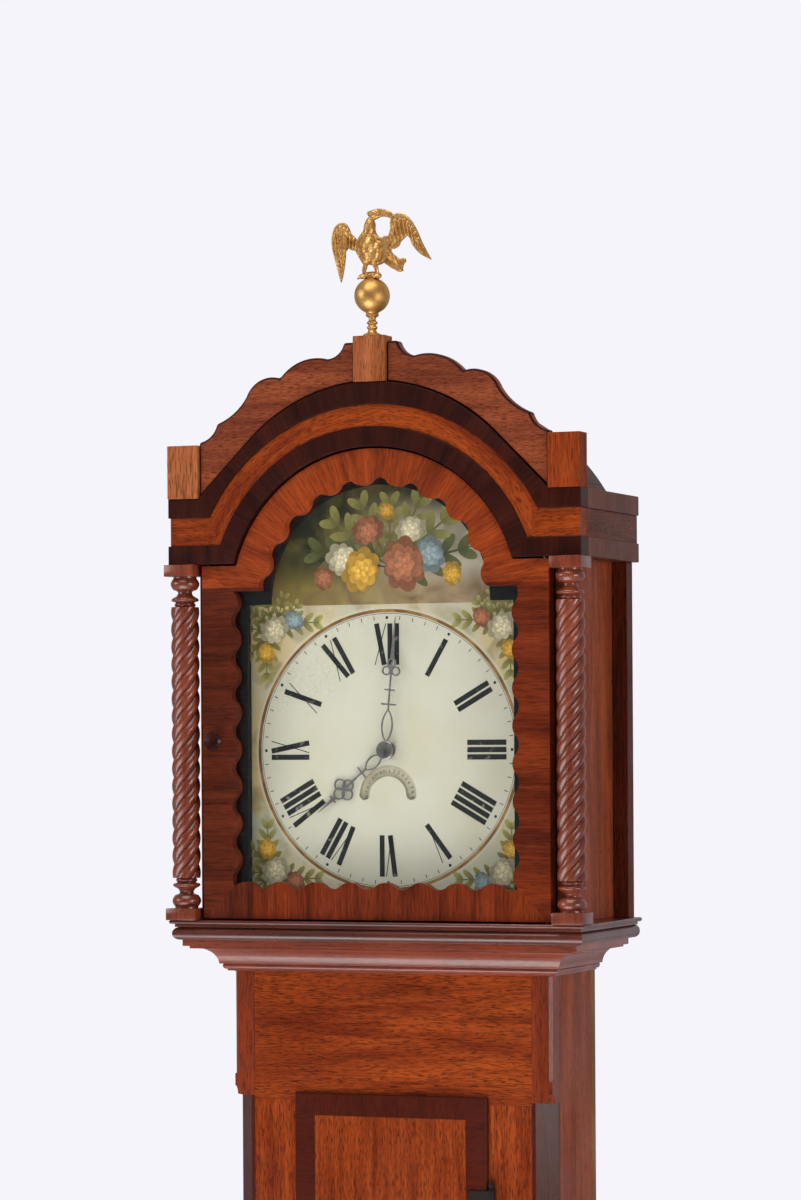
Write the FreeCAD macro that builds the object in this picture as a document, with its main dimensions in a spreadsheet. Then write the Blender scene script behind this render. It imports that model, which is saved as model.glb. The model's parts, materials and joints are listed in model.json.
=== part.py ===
"""A thirty-hour longcase clock with twist columns: case, hood, doors, dial, movement and drive.

Millimetres, +Z up. The clock faces -Y, and the origin is on the floor under its middle.
"""
import FreeCAD, Part
import math
import os

import Sketcher

V = FreeCAD.Vector
doc = FreeCAD.newDocument("longcase_clock")


# Sizes that carry their sheet expression

class Size:
    """A length with the sheet expression that it comes from."""

    def __init__(self, text, value):
        self.text = text
        self.value = value

    def __float__(self):
        return self.value

    def __add__(self, other):
        other = as_size(other)
        return Size(f"({self.text} + {other.text})", self.value + other.value)

    def __sub__(self, other):
        other = as_size(other)
        return Size(f"({self.text} - {other.text})", self.value - other.value)

    def __mul__(self, other):
        other = as_size(other)
        return Size(f"({self.text} * {other.text})", self.value * other.value)

    def __truediv__(self, other):
        other = as_size(other)
        return Size(f"({self.text} / {other.text})", self.value / other.value)

    def __neg__(self):
        return Size(f"(0 - {self.text})", -self.value)

    def __radd__(self, other):
        return as_size(other) + self

    def __rsub__(self, other):
        return as_size(other) - self

    def __rmul__(self, other):
        return as_size(other) * self


def as_size(number):
    return number if isinstance(number, Size) else Size(f"({number})", float(number))


def root(size):
    return Size(f"sqrt({size.text})", math.sqrt(size.value))


def sine(angle):
    return Size(f"sin({angle.text})", math.sin(math.radians(angle.value)))


def cosine(angle):
    return Size(f"cos({angle.text})", math.cos(math.radians(angle.value)))


# Driving dimensions

DIMENSIONS = {
    # heights of the case, from the floor up
    "base_height": 470, "waist_height": 48, "trunk_height": 812, "throat_height": 36,
    "hood_base_height": 22.5, "plinth_height": 95,
    # depths behind the hood's face, and the face's own place
    "face_y": -91.5, "case_depth": 196, "trunk_setback": 52,
    # boards of the case
    "board": 18, "backboard_thick": 12, "trunk_in": 55, "post": 24, "post_cant": 20, "post_chamfer": 4,
    "tongue_drop": 140, "tongue_length": 24, "base_proud": 30, "plinth_proud": 12, "throat_proud": 44,
    "waist_lip": 4, "wall_hole": 3.5, "wall_hole_drop": 60,
    # trunk door
    "door_drop": 135, "door_foot": 102, "door_in": 75, "door_lip": 8, "door_proud": 6, "door_gap": 1,
    "hinge_radius": 4, "hinge_pin": 2, "hinge_length": 46, "hinge_inset": 102, "hinge_fit": 0.08, "leaf": 1.6,
    "knuckle_gap": 0.4, "leaf_wide": 28, "strap_wide": 20,
    "keyhole_rise": 60, "keyhole": 2.5, "escutcheon_radius": 13, "escutcheon_thick": 1.2,
    # hood
    "hood_half": 245, "entablature_rise": 397.5, "architrave_height": 21, "frieze_height": 31.4,
    "cornice_height": 21.4, "frieze_recess": 2, "fascia": 24, "arch_rise": 351, "arch_in": 73,
    "architrave_arch": 22, "frieze_arch": 24.5, "crown_band": 24.5, "crown_in": 40, "crown_angle": 45,
    "hood_wall": 14, "wall_in": 26, "wall_front": 28, "rear_post": 18, "rear_post_deep": 20,
    "roof": 6, "rail_width": 50, "mask": 6, "mask_in": 87, "mask_arch_in": 41,
    "mask_foot": 31, "crest_thick": 16, "crest_set": 3, "block_height": 59.5, "block_deep": 23,
    "centre_block_half": 19, "centre_block_height": 50.5, "block_proud": 2,
    # columns
    "column_in": 16, "column_set": 9.5, "column_block": 36, "column_base": 13, "column_cap": 13,
    "column_radius": 15.9, "strand_depth": 3.4, "column_lead": 78, "column_starts": 4, "bulb": 16.2,
    "column_neck": 7.9, "disc": 15.4, "column_bead": 12, "column_turned": 34,
    # hood door
    "sash_in": 39, "sash_set": 5, "sash_thick": 17, "sash_gap": 2, "sash_stile": 38, "sash_rail": 36,
    "sash_band": 34, "sash_shoulder": 367, "scallop": 7, "scallop_pitch": 41, "glass": 2.5, "glass_bed": 3,
    "glass_fit": 0.3,
    "glass_rebate": 9, "pivot_in": 6, "pivot_radius": 2, "pivot_length": 10, "knob_radius": 10.5,
    "knob_reach": 18, "knob_shank": 3, "knob_rise": 200, "sash_clear": 2,
    # finial
    "stem_height": 26, "stem_foot": 11, "ball_radius": 19.7, "eagle_height": 75,
    "wing_span_left": 49, "wing_span_right": 68,
    # dial and hands
    "dial_rise": 189, "dial_set": 48, "dial_thick": 1.6, "dial_half": 165, "dial_arch": 140,
    "dial_hole": 6.5, "date_drop": 51, "date_mid": 28, "date_slot": 12.5, "date_end": 0.53, "date_radius": 40,
    "minute_length": 148, "hour_length": 108, "minute_angle": 5, "hour_angle": 230, "hand_thick": 1.1,
    "hand_boss": 10, "hand_wire": 1.8, "minute_gap": 7, "hour_gap": 2.6, "hour_pipe": 5, "cannon": 3.2,
    "stud": 2, "minute_stud": 1.2, "date_gap": 3, "date_thick": 1.2,
    # movement
    "foot_length": 32, "plate": 2.5, "pillar_length": 48, "plate_half": 80, "plate_foot": 66, "plate_top": 116,
    "pillar_radius": 4, "pivot": 1, "arbor": 1.5, "pivot_fit": 0.05, "shake": 0.3, "wheel_thick": 2,
    "great_x": 39.5, "rope_turn": 22, "rope_radius": 3, "rope_gap": 0.25, "rope_plane": 31, "cheek": 2,
    "bell_radius": 44, "bell_height": 28, "bell_rise": 122, "bell_wall": 2, "bell_post": 2.5, "bell_gap": 2,
    "bell_strap": 3,
    "seat_deep": 76, "rope_slot": 8, "pillar_inset": 11, "cannon_gap": 3, "escape_radius": 21,
    "great_module": 1.5, "centre_module": 1.2, "third_module": 1.1, "cannon_module": 1.2, "pin_module": 1,
    "hoop_module": 0.9, "warning_module": 0.8, "count_module": 1.2, "count_radius": 25,
    "great_plane": 20, "strike_plane": 10, "centre_plane": 40, "third_plane": 8, "escape_plane": 30,
    "pin_plane": 14, "hoop_plane": 36, "warning_plane": 25,
    # pendulum
    "pendulum_set": 164, "pendulum_length": 994, "rod_radius": 1.6, "bob_radius": 52, "bob_thick": 20,
    "bob_edge": 3, "cock_gap": 12, "crutch_length": 98, "hang_pin": 1.5,
    # weight and rope
    "weight_drop": 321, "weight_radius": 29, "weight_height": 205,
    "ring_drop": 1306, "ring_bend": 14, "ring_tube": 7, "ring_hole": 14, "slack_bend": 220, "slack_lean": 25,
}

sheet = doc.addObject("Spreadsheet::Sheet", "dims")
for row, (alias, value) in enumerate(DIMENSIONS.items(), start=1):
    sheet.set(f"A{row}", alias)
    sheet.set(f"B{row}", str(value))
    sheet.setAlias(f"B{row}", alias)
doc.recompute()


class Dims:
    """Gives each driving dimension as a Size."""

    def __getattr__(self, alias):
        return Size(f"dims.{alias}", float(sheet.get(alias)))


d = Dims()


# Makers of solids

def bind(thing, prop, size):
    thing.setExpression(prop, as_size(size).text)


def place(thing, x, y, z):
    for axis, size in zip("xyz", (x, y, z)):
        bind(thing, f"Placement.Base.{axis}", size)


def board(name, x, y, z):
    """A rectangular board between two places along each axis."""
    solid = doc.addObject("Part::Box", name)
    for prop, (low, high) in zip(("Length", "Width", "Height"), (x, y, z)):
        bind(solid, prop, as_size(high) - low)
    place(solid, x[0], y[0], z[0])
    return solid


TURNS = {
    "x": FreeCAD.Rotation(V(0, 1, 0), 90),
    "y": FreeCAD.Rotation(V(1, 0, 0), -90),
    "z": FreeCAD.Rotation(),
    "front": FreeCAD.Rotation(V(1, 0, 0), 90),
}


def rod(name, axis, start, radius, length):
    """A round rod from a start point along an axis."""
    solid = doc.addObject("Part::Cylinder", name)
    solid.Placement = FreeCAD.Placement(V(), TURNS[axis])
    bind(solid, "Radius", radius)
    bind(solid, "Height", length)
    place(solid, *start)
    return solid


def join(name, solids):
    fused = doc.addObject("Part::MultiFuse", name)
    fused.Shapes = solids
    fused.Refine = True
    return fused


def cut(name, solid, tools):
    made = doc.addObject("Part::Cut", name)
    made.Base = solid
    made.Tool = tools[0] if len(tools) == 1 else join(f"{name}_tools", tools)
    return made


def group(name, solids):
    made = doc.addObject("Part::Compound", name)
    made.Links = solids
    return made


def shaped(name, shape, at=(0, 0, 0)):
    """A solid made by Part's own functions, put in its place."""
    made = doc.addObject("Part::Feature", name)
    made.Shape = shape
    shift = FreeCAD.Placement(V(*[float(a) for a in at]), FreeCAD.Rotation())
    made.Placement = shift.multiply(shape.Placement)
    return made


class Ring:
    """A round hole in an outline."""

    def __init__(self, u, v, radius):
        self.centre = (as_size(u), as_size(v))
        self.radius = as_size(radius)


def arc_edge(p, q, radius):
    """The shorter arc from p to q: a positive radius turns left, a negative one right."""
    size = abs(radius)
    chord = q - p
    rise = math.sqrt(max(size * size - chord.Length ** 2 / 4, 0))
    left = V(-chord.y, chord.x, 0).normalize()
    centre = (p + q) * 0.5 + left * math.copysign(rise, radius)
    first, last = (p, q) if radius > 0 else (q, p)
    angles = [math.atan2(end.y - centre.y, end.x - centre.x) for end in (first, last)]
    return Part.ArcOfCircle(Part.Circle(centre, V(0, 0, 1), size), *angles)


def draw(sketch, loop):
    """Draws one closed outline whose every corner and radius is bound to the sheet."""

    def hold(kind, *args):
        size = args[-1]
        index = sketch.addConstraint(Sketcher.Constraint(kind, *args[:-1], float(size)))
        bind(sketch, f"Constraints[{index}]", size)

    if isinstance(loop, Ring):
        middle = V(float(loop.centre[0]), float(loop.centre[1]), 0)
        edge = sketch.addGeometry(Part.Circle(middle, V(0, 0, 1), float(loop.radius)), False)
        hold("DistanceX", -1, 1, edge, 3, loop.centre[0])
        hold("DistanceY", -1, 1, edge, 3, loop.centre[1])
        hold("Radius", edge, loop.radius)
        return
    corners = [(as_size(corner[0]), as_size(corner[1])) for corner in loop]
    points = [V(float(u), float(v), 0) for u, v in corners]
    edges = []
    for i, corner in enumerate(loop):
        p, q = points[i], points[(i + 1) % len(points)]
        bend = as_size(corner[2]) if len(corner) > 2 else None
        curve = Part.LineSegment(p, q) if bend is None else arc_edge(p, q, float(bend))
        backward = bend is not None and float(bend) < 0
        edges.append((sketch.addGeometry(curve, False), (2, 1) if backward else (1, 2), bend))
    for i, (edge, (start, end), bend) in enumerate(edges):
        follower, (follower_start, _), _ = edges[(i + 1) % len(edges)]
        sketch.addConstraint(Sketcher.Constraint("Coincident", edge, end, follower, follower_start))
        hold("DistanceX", -1, 1, edge, start, corners[i][0])
        hold("DistanceY", -1, 1, edge, start, corners[i][1])
        if bend is not None:
            hold("Radius", edge, bend if float(bend) > 0 else -bend)


def outline(body, role, loops):
    sketch = body.newObject("Sketcher::SketchObject", f"{body.Name}_outline")
    plane = [feature for feature in body.Origin.OriginFeatures if feature.Role == role][0]
    sketch.AttachmentSupport = (plane, "")
    sketch.MapMode = "FlatFace"
    for loop in loops:
        draw(sketch, loop)
    return sketch


def prism(name, plane, loops, start, end):
    """An outline drawn on the front (x, z), side (y, z) or floor (x, y), made solid from start to end."""
    body = doc.addObject("PartDesign::Body", name)
    roles = {"front": "XZ_Plane", "side": "YZ_Plane", "floor": "XY_Plane"}
    sketch = outline(body, roles[plane], loops)
    bind(sketch, "AttachmentOffset.Base.z", -as_size(end) if plane == "front" else start)
    pad = body.newObject("PartDesign::Pad", f"{name}_pad")
    pad.Profile = sketch
    bind(pad, "Length", as_size(end) - start)
    return body


def turning(name, profile, at, axis="z"):
    """A turned piece: a closed (radius, height) profile spun about its axis."""
    body = doc.addObject("PartDesign::Body", name)
    sketch = outline(body, "XZ_Plane", [profile])
    spin = body.newObject("PartDesign::Revolution", f"{name}_turn")
    spin.Profile = sketch
    spin.ReferenceAxis = (sketch, ["V_Axis"])
    spin.Angle = 360
    body.Placement = FreeCAD.Placement(V(), TURNS[axis])
    place(body, *at)
    return body


def arc_through(p, q, sag):
    """The radius of an arc from p to q that bows by sag to the right of the way there."""
    across, up = as_size(q[0]) - p[0], as_size(q[1]) - p[1]
    sag = as_size(sag)
    return (across * across + up * up) / (8 * sag) + sag / 2


def flat_wire(corners):
    """A closed wire from (u, v) corners, with (u, v, sag) bowing an arc out to the right of the way on."""
    edges = []
    for i, corner in enumerate(corners):
        p = V(float(corner[0]), float(corner[1]), 0)
        following = corners[(i + 1) % len(corners)]
        q = V(float(following[0]), float(following[1]), 0)
        if len(corner) > 2 and float(corner[2]):
            way = (q - p).normalize()
            middle = (p + q) * 0.5 + V(way.y, -way.x, 0) * float(corner[2])
            edges.append(Part.Arc(p, middle, q).toShape())
        else:
            edges.append(Part.LineSegment(p, q).toShape())
    return Part.Wire(edges)


def mitred(name, profile, half, front, back, low):
    """A moulding round the front and two sides, its three lengths mitred at the corners.

    The profile's corners are (outward, up) from the faces at x = +-half and y = front.
    """
    half, front, back, low = (float(size) for size in (half, front, back, low))
    bow = max(abs(float(corner[2])) if len(corner) > 2 else 0 for corner in profile)
    reach = max(float(corner[0]) for corner in profile) + bow + 1
    inset = -min(float(corner[0]) for corner in profile) + 1
    face = Part.Face(flat_wire(profile))

    def wedge(corners):
        points = [V(x, y, 0) for x, y in corners]
        tall = max(float(corner[1]) for corner in profile) + 1
        return Part.Face(Part.makePolygon(points + points[:1])).extrude(V(0, 0, tall))

    run = 2 * (half + reach)
    length = face.copy()
    length.Placement = FreeCAD.Placement(
        V(-half - reach, front, 0), FreeCAD.Rotation(V(0, -1, 0), V(0, 0, 1), V(-1, 0, 0), "ZXY"))
    front_piece = length.extrude(V(run, 0, 0)).common(wedge([
        (-half - reach, front - reach), (half + reach, front - reach),
        (half - inset, front + inset), (-half + inset, front + inset)]))
    side = face.copy()
    side.Placement = FreeCAD.Placement(
        V(half, front - reach, 0), FreeCAD.Rotation(V(1, 0, 0), V(0, 0, 1), V(0, -1, 0), "ZXY"))
    side_piece = side.extrude(V(0, back - front + reach, 0)).common(wedge([
        (half - inset, front + inset), (half + reach, front - reach),
        (half + reach, back), (half - inset, back)]))
    pieces = [front_piece, side_piece, side_piece.mirror(V(), V(1, 0, 0))]
    return shaped(name, Part.makeCompound([piece.Solids[0] for piece in pieces]), (0, 0, low))


# Levels and planes shared by the pieces

FACE = d.face_y
BACK = FACE + d.case_depth
TRUNK_FRONT = FACE + d.trunk_setback
TRUNK_FOOT = d.base_height + d.waist_height
THROAT_FOOT = TRUNK_FOOT + d.trunk_height
HOOD_FOOT = THROAT_FOOT + d.throat_height
HOOD = HOOD_FOOT + d.hood_base_height
ENTABLATURE = HOOD + d.entablature_rise
FRIEZE = ENTABLATURE + d.architrave_height
CORNICE = FRIEZE + d.frieze_height
CORNICE_TOP = CORNICE + d.cornice_height
ARCH = HOOD + d.arch_rise
CENTRE = HOOD + d.dial_rise
BACK_INSIDE = BACK - d.backboard_thick
TRUNK_HALF = d.hood_half - d.trunk_in
DOOR_HALF = TRUNK_HALF - d.door_in
WALL_OUTER = d.hood_half - d.wall_in
COLUMN_X = d.hood_half - d.column_in
SASH_HALF = d.hood_half - d.sash_in
MASK_HALF = d.hood_half - d.mask_in
ARCH_RADIUS = d.hood_half - d.arch_in
MASK_ARCH = ARCH_RADIUS - d.mask_arch_in
CROWN_RADIUS = d.hood_half - d.crown_in
CROWN = ARCH + ARCH_RADIUS + d.architrave_arch + d.frieze_arch + d.crown_band

pieces = []


def keep(piece):
    pieces.append(piece)
    return piece


# Case

def case():
    base_half = TRUNK_HALF + d.base_proud
    base_front = TRUNK_FRONT - d.base_proud
    wall_inner = WALL_OUTER - d.hood_wall
    hood_half = wall_inner - d.sash_clear
    arch_half = CROWN - ARCH - d.roof - d.sash_clear
    arch_level = ARCH + root(arch_half * arch_half - hood_half * hood_half)
    base_inner = base_half - d.board
    keep(prism("backboard", "front", [
        [(-base_inner, 0), (base_inner, 0), (base_inner, d.base_height), (TRUNK_HALF, d.base_height),
         (TRUNK_HALF, HOOD), (hood_half, HOOD), (hood_half, arch_level, arch_half), (-hood_half, arch_level),
         (-hood_half, HOOD), (-TRUNK_HALF, HOOD),
         (-TRUNK_HALF, d.base_height), (-base_inner, d.base_height)],
        Ring(0, ARCH - d.wall_hole_drop, d.wall_hole)], BACK_INSIDE, BACK))

    seat_under = CENTRE - d.plate_foot - d.board
    inner = TRUNK_HALF - d.board
    side_front = TRUNK_FRONT + d.post
    side_foot = d.base_height - d.plinth_height
    sides = [board(f"trunk_side_{hand}", x, (side_front, BACK_INSIDE), (side_foot, seat_under))
             for hand, x in (("left", (-TRUNK_HALF, -inner)), ("right", (inner, TRUNK_HALF)))]
    keep(group("trunk_sides", sides))
    trunk_frame()
    corner_posts()

    throat = [(0, 0), (6, 0), (6, 2, 2.5), (9, 8), (13, 8, -7), (d.throat_proud - 6, 26),
              (d.throat_proud - 6, 29), (d.throat_proud, 29), (d.throat_proud, d.throat_height),
              (0, d.throat_height)]
    keep(mitred("throat_moulding", throat, TRUNK_HALF, TRUNK_FRONT, BACK_INSIDE, THROAT_FOOT))
    lip = d.base_proud + d.waist_lip
    waist = [(0, 0), (lip - 2, 0, 3), (lip - 2, 10), (lip - 5, 10), (lip - 5, 14, -8),
             (9, d.waist_height - 10), (9, d.waist_height - 6), (6, d.waist_height - 6),
             (4, d.waist_height), (0, d.waist_height)]
    keep(mitred("waist_moulding", waist, TRUNK_HALF, TRUNK_FRONT, BACK_INSIDE, d.base_height))

    keep(board("base_front", (-base_half, base_half), (base_front, base_front + d.board), (0, d.base_height)))
    base_back = base_front + d.board
    sides = [board(f"base_side_{hand}", x, (base_back, BACK), (0, d.base_height))
             for hand, x in (("left", (-base_half, -base_inner)), ("right", (base_inner, base_half)))]
    keep(group("base_sides", sides))
    proud, tall = d.plinth_proud, d.plinth_height
    plinth = [(0, 0), (proud, 0), (proud, tall - 16), (proud - 2, tall - 16, 3), (4, tall - 4), (4, tall),
              (0, tall)]
    keep(mitred("plinth", plinth, base_half, base_front, BACK, 0))

    seat_top = CENTRE - d.plate_foot
    seat_front = FACE + d.dial_set + d.dial_thick + d.foot_length - 6
    seat = board("seat", (-TRUNK_HALF, TRUNK_HALF), (seat_front, seat_front + d.seat_deep),
                 (seat_under, seat_top))
    rope_y = rope_plane()
    slots = [rod(f"rope_slot_{i}", "z", (x, rope_y, seat_under - 1), d.rope_slot, d.board + 2)
             for i, x in enumerate(rope_falls())]
    keep(cut("seatboard", seat, slots))


def trunk_frame():
    """The front frame: top and bottom rails right across, stiles between them beside the door."""
    across = TRUNK_HALF - d.post
    opening = DOOR_HALF - d.door_lip
    opening_top = THROAT_FOOT - d.door_drop - d.door_lip
    opening_foot = TRUNK_FOOT + d.door_foot + d.door_lip
    deep = (TRUNK_FRONT, TRUNK_FRONT + d.board)
    parts = [board("top_rail", (-across, across), deep, (opening_top, HOOD_FOOT)),
             board("bottom_rail", (-across, across), deep, (d.base_height, opening_foot)),
             board("left_stile", (-across, -opening), deep, (opening_foot, opening_top)),
             board("right_stile", (opening, across), deep, (opening_foot, opening_top))]
    keep(group("trunk_frame", parts))


def corner_posts():
    """Square posts with a fine chamfer above and a broad cant below, meeting in a lamb's tongue."""
    tongue_top = THROAT_FOOT - d.tongue_drop
    tongue_foot = TRUNK_FOOT + d.tongue_drop
    posts = []
    for hand, sign in (("left", -1), ("right", 1)):
        outer, inner = sign * TRUNK_HALF, sign * (TRUNK_HALF - d.post)
        low, high = (outer, inner) if sign < 0 else (inner, outer)
        post = board(f"{hand}_post_square", (low, high), (TRUNK_FRONT, TRUNK_FRONT + d.post),
                     (d.base_height, HOOD_FOOT))

        def cant(name, depth, start, end):
            corners = [(outer - sign * depth, TRUNK_FRONT - 1), (outer + sign, TRUNK_FRONT - 1),
                       (outer + sign, TRUNK_FRONT + depth)]
            return prism(name, "floor", [corners if sign > 0 else corners[::-1]], start, end)

        tools = [cant(f"{hand}_fine_top", d.post_chamfer + 1, tongue_top + d.tongue_length, THROAT_FOOT - 1),
                 cant(f"{hand}_broad", d.post_cant + 1, tongue_foot, tongue_top),
                 cant(f"{hand}_fine_foot", d.post_chamfer + 1, TRUNK_FOOT + 1, tongue_foot - d.tongue_length)]
        for end, level in (("top", tongue_top), ("foot", tongue_foot)):
            scoop = doc.addObject("Part::Sphere", f"{hand}_tongue_{end}")
            bind(scoop, "Radius", d.tongue_length / 2)
            place(scoop, outer + sign * d.post_chamfer, TRUNK_FRONT - d.post_chamfer, level)
            tools.append(scoop)
        posts.append(cut(f"{hand}_post", post, tools))
    keep(group("corner_posts", posts))


# Trunk door

def hinge_axis():
    """The trunk door's hinge line, just outside its lip and proud of the frame."""
    return DOOR_HALF + d.hinge_radius + d.knuckle_gap, TRUNK_FRONT - d.hinge_radius - d.knuckle_gap


def hinge_levels():
    top = THROAT_FOOT - d.door_drop - d.hinge_inset
    foot = TRUNK_FOOT + d.door_foot + d.hinge_inset
    return (("upper", top - d.hinge_length), ("lower", foot))


def trunk_door():
    top = THROAT_FOOT - d.door_drop
    foot = TRUNK_FOOT + d.door_foot
    front = TRUNK_FRONT - d.door_proud
    slab_half = DOOR_HALF - d.door_lip - d.door_gap
    slab_low, slab_high = foot + d.door_lip + d.door_gap, top - d.door_lip - d.door_gap
    slab = board("door_slab", (-slab_half, slab_half), (TRUNK_FRONT, TRUNK_FRONT + d.board),
                 (slab_low, slab_high))
    lip = prism("door_lip_board", "front", [
        [(-DOOR_HALF, foot), (DOOR_HALF, foot), (DOOR_HALF, top), (-DOOR_HALF, top)]], front, TRUNK_FRONT)
    doc.recompute()
    pad = lip.Tip
    face = min(pad.Shape.Faces, key=lambda f: f.CenterOfMass.y)
    names = [f"Edge{i}" for i, edge in enumerate(pad.Shape.Edges, start=1)
             if any(edge.isSame(other) for other in face.Edges)]
    rim = lip.newObject("PartDesign::Fillet", "door_lip_round")
    rim.Base = (pad, names)
    bind(rim, "Radius", d.door_proud - 2)
    door = join("door_board", [slab, lip])
    key_x = d.escutcheon_radius + 2 - DOOR_HALF + d.door_lip
    middle = (top + foot) / 2 + d.keyhole_rise
    hole = rod("keyhole_in_door", "y", (key_x, front - 1, middle), d.keyhole, d.board + d.door_proud + 2)
    keep(cut("trunk_door", door, [hole]))
    plate_front = front - d.escutcheon_thick
    plate = rod("escutcheon_disc", "y", (key_x, plate_front, middle), d.escutcheon_radius, d.escutcheon_thick)
    hole = rod("keyhole_in_plate", "y", (key_x, plate_front - 1, middle), d.keyhole, d.escutcheon_thick + 2)
    keep(cut("trunk_escutcheon", plate, [hole]))
    hinges()


def hinges():
    """Butt hinges: the case carries the middle knuckle and pin, the door the two end knuckles."""
    x, y = hinge_axis()
    knuckle = d.hinge_length / 3
    gap = d.knuckle_gap
    bore = d.hinge_pin + d.hinge_fit
    leaf_back = TRUNK_FRONT
    leaf_front = leaf_back - d.leaf
    door_face = TRUNK_FRONT - d.door_proud
    leaves, straps = [], []
    for name, low in hinge_levels():
        barrel = rod(f"{name}_barrel", "z", (x, y, low + knuckle + gap), d.hinge_radius, knuckle - 2 * gap)
        leaf = board(f"{name}_leaf", (x, x + d.leaf_wide), (leaf_front, leaf_back),
                     (low + knuckle + gap, low + 2 * knuckle - gap))
        pin = rod(f"{name}_pin", "z", (x, y, low - d.hinge_radius), d.hinge_pin,
                  d.hinge_length + 2 * d.hinge_radius)
        fixed = [barrel, leaf, pin]
        thin, wide = d.hinge_pin, d.hinge_radius
        knob = [(0, 0), (wide, 0), (wide, 1), (thin, 2), (wide, 2 + wide), (thin, 2 + 2 * wide), (0, 2 + 2 * wide)]
        drop = [(r, -z) for r, z in reversed(knob)]
        fixed.append(turning(f"{name}_finial_top", knob, (x, y, low + d.hinge_length)))
        fixed.append(turning(f"{name}_finial_foot", drop, (x, y, low)))
        leaves.append(join(f"{name}_case_leaf", fixed))
        for end, start in (("foot", low), ("top", low + 2 * knuckle)):
            ring = rod(f"{name}_{end}_knuckle", "z", (x, y, start + gap), d.hinge_radius, knuckle - 2 * gap)
            flap = board(f"{name}_{end}_flap", (x - d.hinge_radius - d.strap_wide, x),
                         (door_face - d.leaf, door_face), (start + gap, start + knuckle - gap))
            solid = join(f"{name}_{end}_strap_solid", [ring, flap])
            hole = rod(f"{name}_{end}_bore", "z", (x, y, start - 1), bore, knuckle + 2)
            straps.append(cut(f"{name}_{end}_strap", solid, [hole]))
    keep(group("trunk_hinge_leaves", leaves))
    keep(group("trunk_hinge_straps", straps))


# Hood

def arched(name, half, low, high, inner, outer, front, back):
    """One band of the entablature's front: level at the ends and arched in the middle."""

    def spring(radius, level):
        return root(radius * radius - (level - ARCH) * (level - ARCH))

    inner_x, outer_x = spring(inner, low), spring(outer, high)
    return prism(name, "front", [
        [(-half, low), (-inner_x, low, -inner), (inner_x, low), (half, low), (half, high),
         (outer_x, high, outer), (-outer_x, high), (-half, high)]], front, back)


def crown_line():
    """The crown's outline: the round's radius, its ends' place across and level, and the shoulders."""
    radius = CROWN_RADIUS
    centre = CROWN - CROWN_RADIUS
    across, up = radius * sine(d.crown_angle), radius * cosine(d.crown_angle)
    slope = cosine(d.crown_angle) / sine(d.crown_angle)
    shoulder = across + (centre + up - CORNICE_TOP) * slope
    return radius, across, centre + up, shoulder


def hood():
    base_profile = [(-d.rail_width, 0), (-8, 0, 6.5), (-8, 14.5), (-4, 14.5), (-4, 18), (-1, 18, 2),
                    (-1, d.hood_base_height), (-d.rail_width, d.hood_base_height)]
    frame = mitred("hood_base_frame", base_profile, d.hood_half, FACE - 1, BACK, HOOD_FOOT)
    keep(cut("hood_base", frame, [pivot_bore("base_pivot_bore", HOOD)]))

    wall_inner = WALL_OUTER - d.hood_wall
    wall_y = (FACE + d.wall_front, BACK)
    wall_x = (("left", (-WALL_OUTER, -wall_inner)), ("right", (wall_inner, WALL_OUTER)))
    walls = [board(f"hood_wall_{hand}", x, wall_y, (HOOD, CORNICE_TOP)) for hand, x in wall_x]
    keep(group("hood_sides", walls))
    post_outer = WALL_OUTER + d.rear_post
    post_y = (BACK - d.rear_post_deep, BACK)
    post_x = (("left", (-post_outer, -WALL_OUTER)), ("right", (WALL_OUTER, post_outer)))
    posts = [board(f"rear_post_{hand}", x, post_y, (HOOD, ENTABLATURE)) for hand, x in post_x]
    keep(group("hood_rear_posts", posts))

    entablature()
    roof_and_cresting()
    dial_mask(wall_inner)
    columns()
    finial()


def pivot_axis():
    """The hood door's pivot line, near its right edge."""
    return SASH_HALF - d.pivot_in, FACE + d.sash_set + d.pivot_in


def pivot_bore(name, level):
    """The hole for one of the hood door's pins, sunk both ways from the level of a rail's face."""
    depth = d.pivot_length - d.sash_gap
    return rod(name, "z", (*pivot_axis(), level - depth), d.pivot_radius + d.pivot_fit, 2 * depth)


def entablature():
    fascia_back = FACE + d.fascia
    arch_1 = ARCH_RADIUS + d.architrave_arch
    arch_2 = arch_1 + d.frieze_arch
    light = d.hood_half - d.frieze_recess

    def returns(name, half, low, high):
        return [board(f"{name}_{hand}", x, (fascia_back, BACK), (low, high))
                for hand, x in (("left", (-half, -WALL_OUTER)), ("right", (WALL_OUTER, half)))]

    front = arched("architrave_board", d.hood_half, ENTABLATURE, FRIEZE, ARCH_RADIUS, arch_1, FACE, fascia_back)
    front = cut("architrave_front", front, [pivot_bore("architrave_pivot_bore", ENTABLATURE)])
    keep(group("hood_architrave", [front] + returns("architrave", d.hood_half, ENTABLATURE, FRIEZE)))
    front = arched("frieze_front", light, FRIEZE, CORNICE, arch_1, arch_2, FACE + d.frieze_recess, fascia_back)
    keep(group("hood_frieze", [front] + returns("frieze", light, FRIEZE, CORNICE)))

    inner_x = root(arch_2 * arch_2 - (CORNICE - ARCH) * (CORNICE - ARCH))
    radius, across, level, shoulder = crown_line()
    front = prism("cornice_front", "front", [
        [(-d.hood_half, CORNICE), (-inner_x, CORNICE, -arch_2), (inner_x, CORNICE), (d.hood_half, CORNICE),
         (d.hood_half, CORNICE_TOP), (shoulder, CORNICE_TOP), (across, level, radius), (-across, level),
         (-shoulder, CORNICE_TOP), (-d.hood_half, CORNICE_TOP)]], FACE, fascia_back)
    keep(group("hood_cornice", [front] + returns("cornice", d.hood_half, CORNICE, CORNICE_TOP)))


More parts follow.
